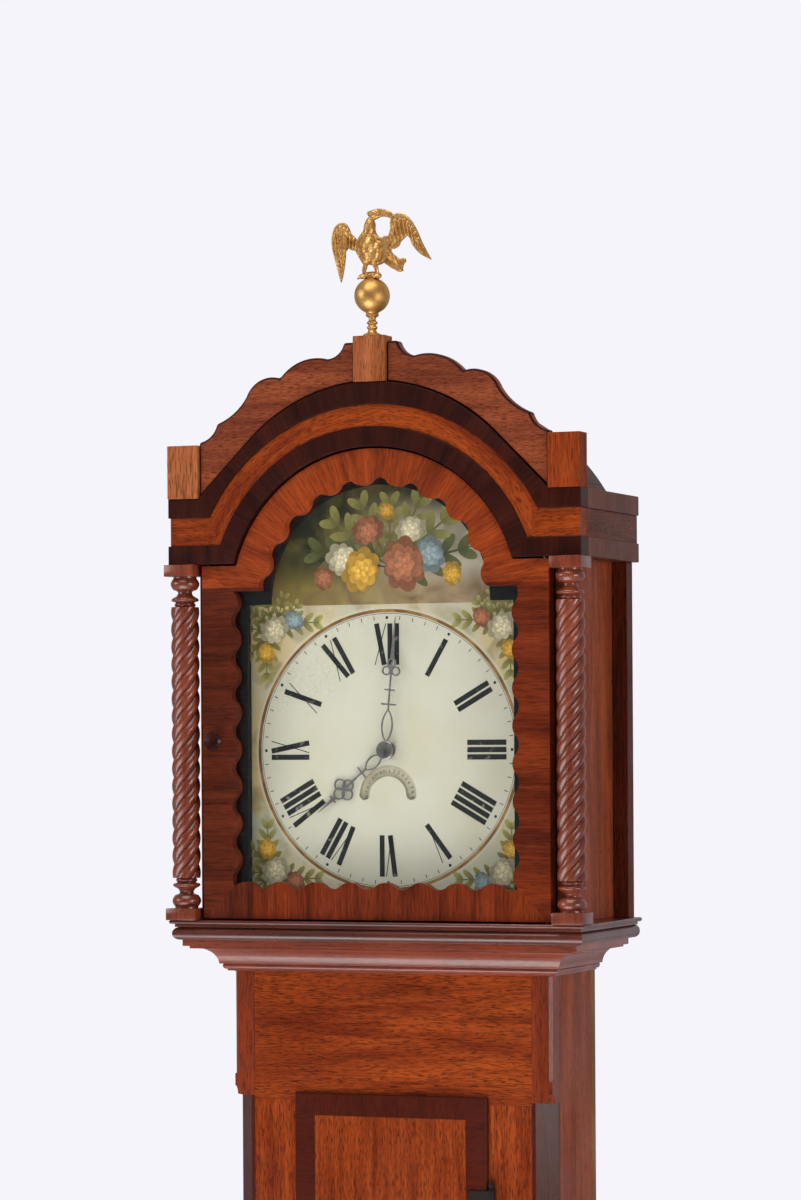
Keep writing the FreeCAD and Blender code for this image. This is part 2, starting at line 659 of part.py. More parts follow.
def roof_and_cresting():
    fascia_back = FACE + d.fascia
    outer = CROWN - ARCH
    inner = outer - d.roof
    rise = CORNICE_TOP - ARCH
    outer_foot, inner_foot = root(outer * outer - rise * rise), root(inner * inner - rise * rise)
    keep(prism("hood_roof", "front", [
        [(-outer_foot, CORNICE_TOP), (-inner_foot, CORNICE_TOP, -inner), (inner_foot, CORNICE_TOP),
         (outer_foot, CORNICE_TOP, outer)]], fascia_back, BACK))

    radius, across, level, shoulder = crown_line()
    inset = d.centre_block_half
    foot_z = CROWN - CROWN_RADIUS + root(radius * radius - inset * inset)
    # shares of the way out to the shoulder, heights above or below the crown's top, and bows
    scroll = [(inset / shoulder, 44, 0), (0.154, 44, -4.5), (0.25, 27, 9), (0.525, 8, 9), (0.7225, -11, -4),
              (0.896, -40, -4.5), (1, -60, 0)]
    crests = []
    for hand, sign in (("left", -1), ("right", 1)):
        loop = [(sign * inset, foot_z, -sign * radius), (sign * across, level), (sign * shoulder, CORNICE_TOP)]
        way_back = [(sign * shoulder * share, CROWN + z, bow) for share, z, bow in scroll]
        tops = []
        for i in range(len(way_back) - 1, -1, -1):
            x, z, _ = way_back[i]
            bow = way_back[i - 1][2] if i else 0
            if bow:
                bend = arc_through((x, z), way_back[i - 1], abs(bow))
                tops.append((x, z, bend if (bow > 0) == (sign > 0) else -bend))
            else:
                tops.append((x, z))
        front = FACE + d.crest_set
        crests.append(prism(f"cresting_{hand}", "front", [loop + tops], front, front + d.crest_thick))
    keep(group("cresting", crests))

    front = FACE - d.block_proud
    block_y = (front, front + d.block_deep)
    top = CORNICE_TOP + d.block_height
    blocks = [board("left_block", (-d.hood_half, -shoulder), block_y, (CORNICE_TOP, top)),
              board("right_block", (shoulder, d.hood_half), block_y, (CORNICE_TOP, top)),
              board("centre_block", (-inset, inset), block_y, (CROWN, CROWN + d.centre_block_height))]
    keep(group("crest_blocks", blocks))


def dial_mask(half):
    outer = ARCH_RADIUS + d.architrave_arch
    outer_x = root(outer * outer - (CORNICE - ARCH) * (CORNICE - ARCH))
    top = CENTRE + d.dial_half - d.sash_clear
    arch_x = root(MASK_ARCH * MASK_ARCH - (top - ARCH) * (top - ARCH))
    foot = HOOD + d.mask_foot
    front = FACE + d.fascia
    keep(prism("dial_mask", "front", [
        [(-half, HOOD), (half, HOOD), (half, CORNICE), (outer_x, CORNICE, outer), (-outer_x, CORNICE),
         (-half, CORNICE)],
        [(-MASK_HALF, foot), (MASK_HALF, foot), (MASK_HALF, top), (arch_x, top, MASK_ARCH),
         (-arch_x, top), (-MASK_HALF, top)]], front, front + d.mask))


# sections of a column's twist in each full turn of its strands
TWIST_STEPS = 12


def twist(length):
    """The shaft: strands wound side by side, lofted through one section that turns as it rises."""
    starts = int(float(d.column_starts))
    crest = float(d.column_radius)
    hollow = float(d.column_radius - d.strand_depth)
    strand = ((hollow, 0), (crest, 1 / 3), (crest, 2 / 3))
    steps = max(2, round(TWIST_STEPS * length / float(d.column_lead)))
    sections = []
    for i in range(steps + 1):
        rise = length * i / steps
        turn = 2 * math.pi * rise / float(d.column_lead)
        points = []
        for j in range(starts):
            for radius, share in strand:
                angle = turn + 2 * math.pi * (j + share) / starts
                points.append(V(radius * math.cos(angle), radius * math.sin(angle), rise))
        sections.append(Part.makePolygon(points + points[:1]))
    return Part.makeLoft(sections, True, True)


def columns():
    """Twist shafts between turned feet and heads, each on a square block."""
    half = d.column_block / 2
    y = FACE + d.column_set
    foot, top = HOOD + d.column_base, ENTABLATURE - d.column_cap
    neck, disc, turned = d.column_neck, d.disc, d.column_turned
    bulb, bead = d.bulb - 3, d.column_bead - 1.5
    bulge = arc_through((bulb, 2), (bulb - 1, 15), 3)
    swell = arc_through((bead, turned - 4.5), (bead, turned), 1.5)
    profile = [(0, 0), (bulb, 0), (bulb, 2, bulge), (bulb - 1, 15), (neck, 16.5), (neck + 0.5, 21),
               (disc - 1, 24.5), (disc, 26), (disc - 1, 28), (bead, turned - 4.5, swell), (bead, turned),
               (0, turned)]
    solids = []
    for hand, x in (("left", -COLUMN_X), ("right", COLUMN_X)):
        square = ((x - half, x + half), (y - half, y + half))
        base = board(f"{hand}_column_base", *square, (HOOD, foot))
        cap = board(f"{hand}_column_cap", *square, (top, ENTABLATURE))
        lower = turning(f"{hand}_column_foot", profile, (x, y, foot))
        upper = turning(f"{hand}_column_head", profile, (x, y, top))
        upper.Placement = FreeCAD.Placement(V(), FreeCAD.Rotation(V(1, 0, 0), 180))
        place(upper, x, y, top)
        length = float(top - foot - 2 * turned)
        shaft = shaped(f"{hand}_column_shaft", twist(length), (x, y, foot + turned))
        solids.append(join(f"{hand}_column", [base, lower, shaft, upper, cap]))
    keep(group("hood_columns", solids))


def finial():
    """A turned stem and ball, and the spread eagle that stands on it."""
    y = FACE - d.block_proud + d.block_deep / 2
    foot = CROWN + d.centre_block_height
    stem, ball = d.stem_height, d.ball_radius
    neck = 3
    reach = root(ball * ball - neck * neck)
    middle = stem - 1 + reach
    top = middle + reach
    profile = [(0, 0), (d.stem_foot, 0), (d.stem_foot, 4), (6, 8), (5, stem - 8), (9, stem - 5), (9, stem - 2),
               (neck, stem - 1, ball), (ball, middle, ball), (neck, top), (0, top)]
    post = turning("finial_ball_turning", profile, (0, y, foot))
    solid = shaped("eagle_casting", eagle(), (0, y, foot + top - 0.6))
    keep(join("finial", [post, solid]))


def eagle():
    """The bird on its ball: feet at the origin, wings raised to the sides, head turned to the left."""
    tall = float(d.eagle_height)
    left, right = float(d.wing_span_left), float(d.wing_span_right)
    body = Part.makeSphere(1)
    stretch = FreeCAD.Matrix()
    stretch.scale(V(12, 11, 19))
    body = body.transformGeometry(stretch)
    body.rotate(V(), V(0, 1, 0), 24)
    body.translate(V(3, 0, tall * 0.42))
    head = Part.makeSphere(7, V(4, -1, tall - 8))
    neck = Part.makeCone(9, 5, tall * 0.3, V(4, 0, tall * 0.56), V(0, 0, 1))
    beak = Part.makeCone(4, 0.6, 9, V(1, -1, tall - 7), V(-1, 0, -0.25))
    feathers = []
    left_wing = [(-4, tall * 0.36), (-16, tall * 0.42, -2), (-30, tall * 0.4), (-36, tall * 0.12, 1),
                 (-left + 8, 0), (-left + 2, tall * 0.34, 3), (-left, tall * 0.58), (-left + 12, tall * 0.8, 3),
                 (-24, tall * 0.62, -3)]
    right_wing = [(8, tall * 0.45), (26, tall * 0.4, 2), (34, tall * 0.5), (right - 14, tall * 0.32),
                  (right, tall * 0.2, -4), (right - 14, tall * 0.6, -5), (34, tall * 0.93, -2), (18, tall * 0.93),
                  (16, tall * 0.6)]
    for wing in (left_wing, right_wing):
        plate = Part.Face(flat_wire(wing)).extrude(V(0, 0, 6))
        plate.rotate(V(), V(1, 0, 0), 90)
        plate.translate(V(0, 3, 0))
        feathers.append(plate)
    tail = Part.Face(flat_wire([(4, tall * 0.3), (14, tall * 0.1), (30, 2), (38, 10, 2), (18, tall * 0.42)]))
    tail = tail.extrude(V(0, 0, 8))
    tail.rotate(V(), V(1, 0, 0), 90)
    tail.translate(V(0, 4, 0))
    legs = [Part.makeCone(4.5, 6.5, tall * 0.32, V(x, -2, 0), V(0.1, 0, 1)) for x in (-6, 6)]
    return body.multiFuse([head, neck, beak, tail] + feathers + legs).removeSplitter()


# Hood door

def scalloped(p, q, count, depth):
    """Corners from p to q with round scallops that bow in on the left of the way."""
    way = V(q[0] - p[0], q[1] - p[1], 0)
    corners = []
    for i in range(count):
        start = V(p[0], p[1], 0) + way * (i / count)
        crest = V(p[0], p[1], 0) + way * ((i + 0.6) / count)
        corners.append((start.x, start.y, -depth * 0.75))
        corners.append((crest.x, crest.y, depth * 0.35))
    return corners


def scalloped_arch(radius, centre, start, end, count, depth):
    """Scallops round an arch from one angle to another, about a centre on the middle line."""
    corners = []
    for i in range(count):
        for share, bow in ((0, -depth * 0.75), (0.6, depth * 0.35)):
            angle = start + (end - start) * (i + share) / count
            corners.append((radius * math.cos(angle), centre + radius * math.sin(angle), bow))
    return corners


def hood_door():
    gap = d.sash_gap
    foot, shoulder = HOOD + gap, ENTABLATURE - gap
    half = SASH_HALF
    outer = ARCH_RADIUS - gap
    outer_x = root(outer * outer - (shoulder - ARCH) * (shoulder - ARCH))
    front = FACE + d.sash_set
    back = front + d.sash_thick
    blank = prism("sash_blank", "front", [
        [(-half, foot), (half, foot), (half, shoulder), (outer_x, shoulder, outer), (-outer_x, shoulder),
         (-half, shoulder)]], front, back)

    depth = float(d.scallop)
    inner = float(half - d.sash_stile)
    low, high = float(foot + d.sash_rail), float(HOOD + d.sash_shoulder)
    arch_inner = float(outer - d.sash_band)
    centre = float(ARCH)
    spring = math.asin((high - centre) / arch_inner)
    spring_x = arch_inner * math.cos(spring)
    pitch = float(d.scallop_pitch)

    def count(length):
        return max(1, round(length / pitch))

    right = scalloped((inner, low), (inner, high), count(high - low), depth)
    over = scalloped_arch(arch_inner, centre, spring, math.pi - spring, 2 * count(arch_inner * 1.5), depth)
    left = scalloped((-inner, high), (-inner, low), count(high - low), depth)
    rail = scalloped((-inner, low), (inner, low), count(2 * inner), depth)
    corners = right + [(inner, high)] + over + [(-spring_x, high)] + left + rail
    cutter = Part.Face(flat_wire(corners)).extrude(V(0, 0, float(d.sash_thick) + 2))
    cutter.rotate(V(), V(1, 0, 0), 90)
    opening = shaped("sash_opening", cutter, (0, back + 1, 0))

    rebate = float(d.glass_rebate)
    glass_low, glass_high = low - rebate, high + rebate
    glass_half, glass_arch = inner + rebate, arch_inner + rebate
    glass_back = back - d.glass_bed
    glass_front = glass_back - d.glass

    def pane(name, inset, start, end):
        reach = glass_arch - inset
        level = glass_high - inset
        spring_half = math.sqrt(reach ** 2 - (level - centre) ** 2)
        return prism(name, "front", [
            [(inset - glass_half, glass_low + inset), (glass_half - inset, glass_low + inset),
             (glass_half - inset, level), (spring_half, level, reach), (-spring_half, level),
             (inset - glass_half, level)]], start, end)

    recess = pane("glass_recess", 0, glass_front, back + 1)
    knob_x, knob_z = -half + d.sash_stile * 0.45, HOOD + d.knob_rise
    knob_hole = rod("knob_hole", "y", (knob_x, front - 1, knob_z), d.knob_shank, d.sash_thick + 2)
    axis, reach = pivot_axis(), d.pivot_length
    ends = (("foot", foot), ("top", shoulder))
    holes = [rod(f"pivot_hole_{end}", "z", (*axis, level - reach), d.pivot_radius, 2 * reach)
             for end, level in ends]
    keep(cut("hood_door_frame", blank, [opening, recess, knob_hole] + holes))
    keep(pane("hood_door_glass", float(d.glass_fit), glass_front, glass_back))

    shank, thick, face = d.knob_shank, d.sash_thick, d.knob_radius
    knob = [(0, 0), (shank, 0), (shank, thick), (2 * shank, thick), (2 * shank, thick + 3), (shank + 1, thick + 6),
            (face - 2, thick + 9), (face, thick + 12), (face - 2, thick + d.knob_reach - 1),
            (0, thick + d.knob_reach)]
    keep(turning("hood_door_knob", knob, (knob_x, back, knob_z), "front"))
    drop = reach - d.sash_gap - d.pivot_fit
    starts = (("foot", foot - drop), ("top", shoulder - reach))
    pins = [rod(f"pivot_{end}", "z", (*axis, level), d.pivot_radius, reach + drop) for end, level in starts]
    keep(group("hood_door_pivots", pins))


# Dial, hands and motion work

PLATE_FRONT = FACE + d.dial_set + d.dial_thick + d.foot_length
PLATE_IN = PLATE_FRONT + d.plate
PLATE_BACK = PLATE_IN + d.pillar_length
PLATE_OUT = PLATE_BACK + d.plate


def rope_plane():
    return PLATE_IN + d.rope_plane


def rope_falls():
    inner, outer = d.great_x - d.rope_turn, d.great_x + d.rope_turn
    return (-outer, -inner, inner, outer)


def dial():
    """The painted iron dial, with a crescent opening for the date and the date disc's stud behind."""
    front = FACE + d.dial_set
    back = front + d.dial_thick
    low, high = CENTRE - d.dial_half, CENTRE + d.dial_half
    arch_x = root(d.dial_arch * d.dial_arch - (high - ARCH) * (high - ARCH))
    date_z = CENTRE - d.date_drop
    inner, outer = d.date_mid - d.date_slot / 2, d.date_mid + d.date_slot / 2
    end = d.date_slot * d.date_end
    plate = prism("dial_sheet", "front", [
        [(-d.dial_half, low), (d.dial_half, low), (d.dial_half, high), (arch_x, high, d.dial_arch),
         (-arch_x, high), (-d.dial_half, high)],
        Ring(0, CENTRE, d.dial_hole),
        [(inner, date_z, end), (outer, date_z, outer), (0, date_z + outer, outer), (-outer, date_z, end),
         (-inner, date_z, -inner), (0, date_z + inner, -inner)]], front, back)
    stud = rod("date_stud", "y", (0, back, date_z), d.stud, d.date_gap * 2 + d.date_thick)
    keep(join("dial_plate", [plate, stud]))
    disc = toothed(DATE_TEETH, float(d.date_radius) * 2 / DATE_TEETH, 0, d.date_thick, d.stud + d.pivot_fit,
                   crossed=False)
    keep(shaped("date_disc", disc, (0, back + d.date_gap, date_z)))


def hand_piece(name, pieces_made, boss_y, bore, angle):
    """Joins a hand's flat pieces, drawn pointing up from the origin, and turns it to its hour."""
    solid = pieces_made[0].multiFuse(pieces_made[1:])
    solid = solid.cut(Part.makeCylinder(float(bore), 40, V(0, -20, 0), V(0, 1, 0)))
    solid = solid.removeSplitter()
    solid.rotate(V(), V(0, 1, 0), float(angle))
    return keep(shaped(name, solid, (0, boss_y, CENTRE)))


def flat(shape):
    """Stands a flat shape, drawn in x and y, up in x and z with the hand's thickness towards the front."""
    solid = shape.extrude(V(0, 0, float(d.hand_thick)))
    solid.rotate(V(), V(1, 0, 0), 90)
    return solid


def holed(wires):
    """A flat face whose inner wires are holes."""
    return Part.Face(wires, "Part::FaceMakerBullseye")


def ring_face(radius, wire, x, z):
    outer = Part.Wire(Part.makeCircle(radius + wire / 2, V(x, z, 0)))
    inner = Part.Wire(Part.makeCircle(radius - wire / 2, V(x, z, 0)))
    return holed([outer, inner])


def bar_face(half, low, high, x=0):
    return Part.Face(flat_wire([(x - half, low), (x + half, low), (x + half, high), (x - half, high)]))


def pointer(half, low, high):
    return Part.Face(flat_wire([(-half, low), (half, low), (0.25, high), (-0.25, high)]))


def hands():
    """A matching pair: a loop next to the boss, a cross bar, pierced rings, and a fine point."""
    boss = float(d.hand_boss)
    minute, hour = float(d.minute_length), float(d.hour_length)
    minute_back = FACE + d.dial_set - d.minute_gap
    hour_back = FACE + d.dial_set - d.hour_gap
    wire = float(d.hand_wire)

    def loop(middle, wide):
        outer = flat_wire([(0, boss - 2, wide), (0, middle, wide)])
        inner = flat_wire([(0, boss - 2 + wire, wide - wire), (0, middle - wire, wide - wire)])
        return holed([outer, inner])

    made = [flat(Part.Face(Part.Wire(Part.makeCircle(boss, V())))), flat(loop(46, 7)),
            flat(bar_face(wire / 2, 44, minute - 50)), flat(bar_face(9, 50, 50 + wire)),
            flat(bar_face(6, 66, 66 + wire)), flat(ring_face(4.5, wire, -5.5, minute - 60)),
            flat(ring_face(4.5, wire, 5.5, minute - 60)), flat(ring_face(4.5, wire, 0, minute - 51)),
            flat(pointer(2.2, minute - 48, minute))]
    dome = Part.makeCone(boss, boss * 0.45, 3, V(0, -float(d.hand_thick), 0), V(0, -1, 0))
    hand_piece("minute_hand", made + [dome], minute_back, d.cannon + d.pivot_fit, d.minute_angle)
    made = [flat(Part.Face(Part.Wire(Part.makeCircle(boss, V())))), flat(loop(34, 7)),
            flat(bar_face(wire / 2, 32, hour - 44)), flat(bar_face(8, 38, 38 + wire))]
    for x, z in ((-7, 0), (7, 0), (0, -7), (0, 7)):
        made.append(flat(ring_face(6, wire, x, hour - 40 + z)))
    made.append(flat(bar_face(5, hour - 24, hour - 24 + wire)))
    made.append(flat(pointer(2.4, hour - 28, hour)))
    hand_piece("hour_hand", made, hour_back, d.hour_pipe + d.pivot_fit, d.hour_angle)


# Wheels

DATE_TEETH = 31
GREAT_TEETH, CENTRE_LEAVES = 48, 12
CENTRE_TEETH, THIRD_LEAVES = 48, 6
THIRD_TEETH, ESCAPE_LEAVES = 45, 6
ESCAPE_TEETH = 30
PIN_LEAVES, PIN_TEETH, HAMMER_PINS = 8, 48, 8
HOOP_LEAVES, HOOP_TEETH = 6, 48
WARNING_LEAVES, WARNING_TEETH = 6, 42
FLY_LEAVES = 6
REPORT_LEAVES, COUNT_TEETH, HOURS = 8, 48, 12
CANNON_TEETH, MINUTE_LEAVES, HOUR_TEETH = 36, 6, 72


def toothed(count, module, phase, thick, bore=0, wheel=True, crossed=True):
    """A wheel or pinion blank with pointed roots and narrow flat tips, its first tooth at the phase angle."""
    pitch = 2 * math.pi / count
    pitch_radius = module * count / 2
    tip = pitch_radius + module * (0.85 if wheel else 0.6)
    base = pitch_radius - module * (1.35 if wheel else 1.3)
    share = 0.05 if wheel else 0.04
    points = []
    for i in range(count):
        middle = phase + i * pitch
        flank = share * pitch
        for radius, angle in ((base, middle - pitch / 2), (tip, middle - flank), (tip, middle + flank)):
            points.append(V(radius * math.cos(angle), 0, radius * math.sin(angle)))
    wires = [Part.makePolygon(points + points[:1])]
    thick, bore = float(thick), float(bore)
    if bore:
        wires.append(Part.Wire(Part.makeCircle(bore, V(), V(0, 1, 0))))
    if wheel and crossed and base > 14:
        wires += crossings(base)
    return holed(wires).extrude(V(0, thick, 0))


def crossings(base):
    """Four openings between the arms of a wheel."""
    inner, outer = 7.0, base - 4.0
    arm = 2.5
    wires = []
    for quarter in range(4):
        turn = quarter * math.pi / 2 + math.pi / 4
        spans = [(inner, math.asin(arm / inner)), (outer, math.asin(arm / outer))]

        def at(radius, angle):
            return V(radius * math.cos(turn + angle), 0, radius * math.sin(turn + angle))

        quarter_half = math.pi / 4
        (r0, a0), (r1, a1) = spans
        start, end = -quarter_half, quarter_half
        corners = [at(r0, start + a0), at(r1, start + a1), at(r1, end - a1), at(r0, end - a0)]
        sides = [Part.LineSegment(corners[0], corners[1]), Part.Arc(corners[1], at(r1, 0), corners[2]),
                 Part.LineSegment(corners[2], corners[3]), Part.Arc(corners[3], at(r0, 0), corners[0])]
        wires.append(Part.Wire([side.toShape() for side in sides]))
    return wires


class Arbor:
    """A wheel's centre in the movement, with the phases that put its pinion in mesh with the driver."""

    def __init__(self, x, z, phase=0.0):
        self.x = float(x)
        self.z = float(z)
        self.phase = phase

    def meshed(self, module, teeth, leaves, angle):
        """The next arbor: its pinion or wheel meets this one's teeth in the direction of the angle."""
        distance = module * (teeth + leaves) / 2
        turn = math.radians(angle)
        pitch = 2 * math.pi / teeth
        behind = (turn - self.phase) % pitch
        phase = turn + math.pi + behind * teeth / leaves + math.pi / leaves
        return Arbor(self.x + distance * math.cos(turn), self.z + distance * math.sin(turn), phase)

    def at(self, y):
        return V(self.x, float(y), float(CENTRE) + self.z)


def cylinder(spot, start, radius, end):
    return Part.makeCylinder(float(radius), float(end) - float(start), spot.at(start), V(0, 1, 0))


def spindle(spot):
    """An arbor between the plates, with its two pivots."""
    return [cylinder(spot, PLATE_IN + d.shake, d.arbor, PLATE_BACK - d.shake),
            cylinder(spot, PLATE_FRONT, d.pivot, PLATE_OUT)]


def geared(spot, count, module, start, thick, wheel, phase=None, bore=0):
    gear = toothed(count, float(module), spot.phase if phase is None else phase, thick, bore, wheel)
    gear.translate(spot.at(PLATE_IN + start))
    return gear


def pulley(spot):
    """A grooved rope pulley on a great wheel's arbor."""
    bottom = float(d.rope_turn - d.rope_radius - d.rope_gap)
    rim = float(d.rope_turn + d.rope_radius)
    half = float(d.rope_radius + d.rope_gap * 2)
    cheek = float(d.cheek)
    profile = [(0, -half - cheek), (rim, -half - cheek), (rim, -half - cheek / 3), (bottom, -half),
               (bottom, half), (rim, half + cheek / 3), (rim, half + cheek), (0, half + cheek)]
    points = [V(r, y, 0) for r, y in profile]
    solid = Part.Face(Part.makePolygon(points + points[:1])).revolve(V(), V(0, 1, 0), 360)
    solid.translate(spot.at(rope_plane()))
    return solid


def merged(name, solids):
    return keep(shaped(name, solids[0].multiFuse(solids[1:]).removeSplitter()))


def train_layout():
    """Every arbor's place, worked out from the pitch radii along each train."""
    reach = float(d.great_module) * (GREAT_TEETH + CENTRE_LEAVES) / 2
    drop = math.sqrt(reach ** 2 - float(d.great_x) ** 2)
    great = Arbor(d.great_x, -drop)
    spots = {"going_great": great}
    towards_centre = math.degrees(math.atan2(drop, -float(d.great_x)))
    spots["centre"] = great.meshed(float(d.great_module), GREAT_TEETH, CENTRE_LEAVES, towards_centre)
    wheel = Arbor(0, 0, spots["centre"].phase)
    spots["third"] = wheel.meshed(float(d.centre_module), CENTRE_TEETH, THIRD_LEAVES, 75)
    third = spots["third"]
    span = float(d.third_module) * (THIRD_TEETH + ESCAPE_LEAVES) / 2
    upward = math.degrees(math.acos(-third.x / span))
    spots["escape"] = third.meshed(float(d.third_module), THIRD_TEETH, ESCAPE_LEAVES, upward)
    spots["anchor"] = Arbor(0, spots["escape"].z + float(d.escape_radius) * math.sqrt(2))
    spots["strike_great"] = Arbor(-d.great_x, -drop)
    spots["pin"] = spots["strike_great"].meshed(float(d.great_module), GREAT_TEETH, PIN_LEAVES, 95)
    spots["hoop"] = spots["pin"].meshed(float(d.pin_module), PIN_TEETH, HOOP_LEAVES, 62)
    spots["warning"] = spots["hoop"].meshed(float(d.hoop_module), HOOP_TEETH, WARNING_LEAVES, 105)
    spots["fly"] = spots["warning"].meshed(float(d.warning_module), WARNING_TEETH, FLY_LEAVES, 75)
    spots["count"] = spots["strike_great"].meshed(float(d.count_module), REPORT_LEAVES, COUNT_TEETH, 100)
    spots["minute"] = wheel.meshed(float(d.cannon_module), CANNON_TEETH, CANNON_TEETH, 180)
    spots["hammer"] = Arbor(-66, 40)
    spots["lever"] = Arbor(-62, 24)
    return spots


def going_train(spots):
    thick = d.wheel_thick
    great = spots["going_great"]
    merged("going_great_wheel", spindle(great) + [
        geared(great, GREAT_TEETH, d.great_module, d.great_plane, thick, True), pulley(great)])

    centre = spots["centre"]
    front = FACE + d.dial_set - d.minute_gap - d.hand_thick
    cannon = [cylinder(centre, front, d.cannon, PLATE_IN + d.shake),
              cylinder(centre, PLATE_IN + d.shake, d.arbor, PLATE_BACK - d.shake),
              cylinder(centre, PLATE_BACK - d.shake, d.pivot, PLATE_OUT)]
    merged("centre_wheel", cannon + [
        geared(centre, CENTRE_LEAVES, d.great_module, d.great_plane - 2, thick + 4, False),
        geared(centre, CENTRE_TEETH, d.centre_module, d.centre_plane, thick, True),
        geared(centre, CANNON_TEETH, d.cannon_module, -d.plate - d.cannon_gap - thick, thick, True)])

    third = spots["third"]
    merged("third_wheel", spindle(third) + [
        geared(third, THIRD_LEAVES, d.centre_module, d.centre_plane - 2, thick + 4, False),
        geared(third, THIRD_TEETH, d.third_module, d.third_plane, thick, True)])

    escape = spots["escape"]
    module = d.escape_radius * 2 / (ESCAPE_TEETH + 1.7)
    merged("escape_wheel", spindle(escape) + [
        geared(escape, ESCAPE_LEAVES, d.third_module, d.third_plane - 2, thick + 4, False),
        geared(escape, ESCAPE_TEETH, module, d.escape_plane, thick, True)])


def strike_train(spots):
    thick = d.wheel_thick
    great = spots["strike_great"]
    merged("strike_great_wheel", spindle(great) + [
        geared(great, GREAT_TEETH, d.great_module, d.strike_plane, thick, True), pulley(great),
        cylinder(great, PLATE_BACK - d.shake, d.arbor, PLATE_OUT + 5),
        geared(great, REPORT_LEAVES, d.count_module, d.pillar_length + d.plate + 1, thick + 1, False, 0.0)])

    pin = spots["pin"]
    solids = spindle(pin) + [
        geared(pin, PIN_LEAVES, d.great_module, d.strike_plane - 2, thick + 4, False),
        geared(pin, PIN_TEETH, d.pin_module, d.pin_plane, thick, True)]
    ring = float(d.pin_module) * PIN_TEETH / 2 - 3
    for i in range(HAMMER_PINS):
        turn = 2 * math.pi * i / HAMMER_PINS
        spot = Arbor(pin.x + ring * math.cos(turn), pin.z + ring * math.sin(turn))
        solids.append(cylinder(spot, PLATE_IN + d.pin_plane, 1.1, PLATE_IN + d.pin_plane + 5))
    merged("pin_wheel", solids)

    hoop = spots["hoop"]
    merged("hoop_wheel", spindle(hoop) + [
        geared(hoop, HOOP_LEAVES, d.pin_module, d.pin_plane - 2, thick + 4, False),
        geared(hoop, HOOP_TEETH, d.hoop_module, d.hoop_plane, thick, True)])
    warning = spots["warning"]
    merged("warning_wheel", spindle(warning) + [
        geared(warning, WARNING_LEAVES, d.hoop_module, d.hoop_plane - 2, thick + 4, False),
        geared(warning, WARNING_TEETH, d.warning_module, d.warning_plane, thick, True)])

    fly = spots["fly"]
    vane = Part.makeBox(24, 16, 0.9, fly.at(PLATE_IN + 3) - V(12, 0, 0.45))
    merged("fly", spindle(fly) + [
        geared(fly, FLY_LEAVES, d.warning_module, d.warning_plane - 2, thick + 4, False), vane])

    count = spots["count"]
    start = d.pillar_length + d.plate + 1.5
    teeth = geared(count, COUNT_TEETH, d.count_module, start, thick, True, None, d.stud + d.pivot_fit)
    disc = cylinder(count, PLATE_IN + start + thick, d.count_radius, PLATE_IN + start + thick * 2)
    disc = disc.cut(cylinder(count, PLATE_IN + start, d.count_radius - 6, PLATE_IN + start + thick * 3))
    blows = HOURS * (HOURS + 1) // 2
    told = 0
    for hour in range(1, HOURS + 1):
        told += hour
        notch = Part.makeBox(8, 10, 2.2, V(float(d.count_radius) - 4, -1, -1.1))
        notch.rotate(V(), V(0, 1, 0), 360 * told / blows)
        notch.translate(count.at(PLATE_IN + start + thick))
        disc = disc.cut(notch)
    merged("count_wheel", [teeth, disc])

    hammer = spots["hammer"]
    head = V(-float(d.bell_radius) - 8, 0, float(d.bell_rise) + 4)
    plane = PLATE_IN + d.pin_plane + 3
    stem = [(hammer.x - 1.5, hammer.z), (hammer.x + 1.5, hammer.z), (head.x + 1.2, head.z), (head.x - 1.2, head.z)]
    tail = [(hammer.x + 1, hammer.z + 1.5), (hammer.x - 1, hammer.z - 1), (hammer.x + 3.4, hammer.z - 4.6),
            (hammer.x + 4.6, hammer.z - 3.2)]
    solids = spindle(hammer)
    for corners in (stem, tail):
        arm = Part.Face(flat_wire(corners)).extrude(V(0, 0, 2.4))
        arm.rotate(V(), V(1, 0, 0), 90)
        arm.translate(V(0, float(plane) + 2.4, float(CENTRE)))
        solids.append(arm)
    solids.append(Part.makeSphere(6, V(head.x, float(plane) + 1.2, float(CENTRE) + head.z)))
    merged("hammer", solids)


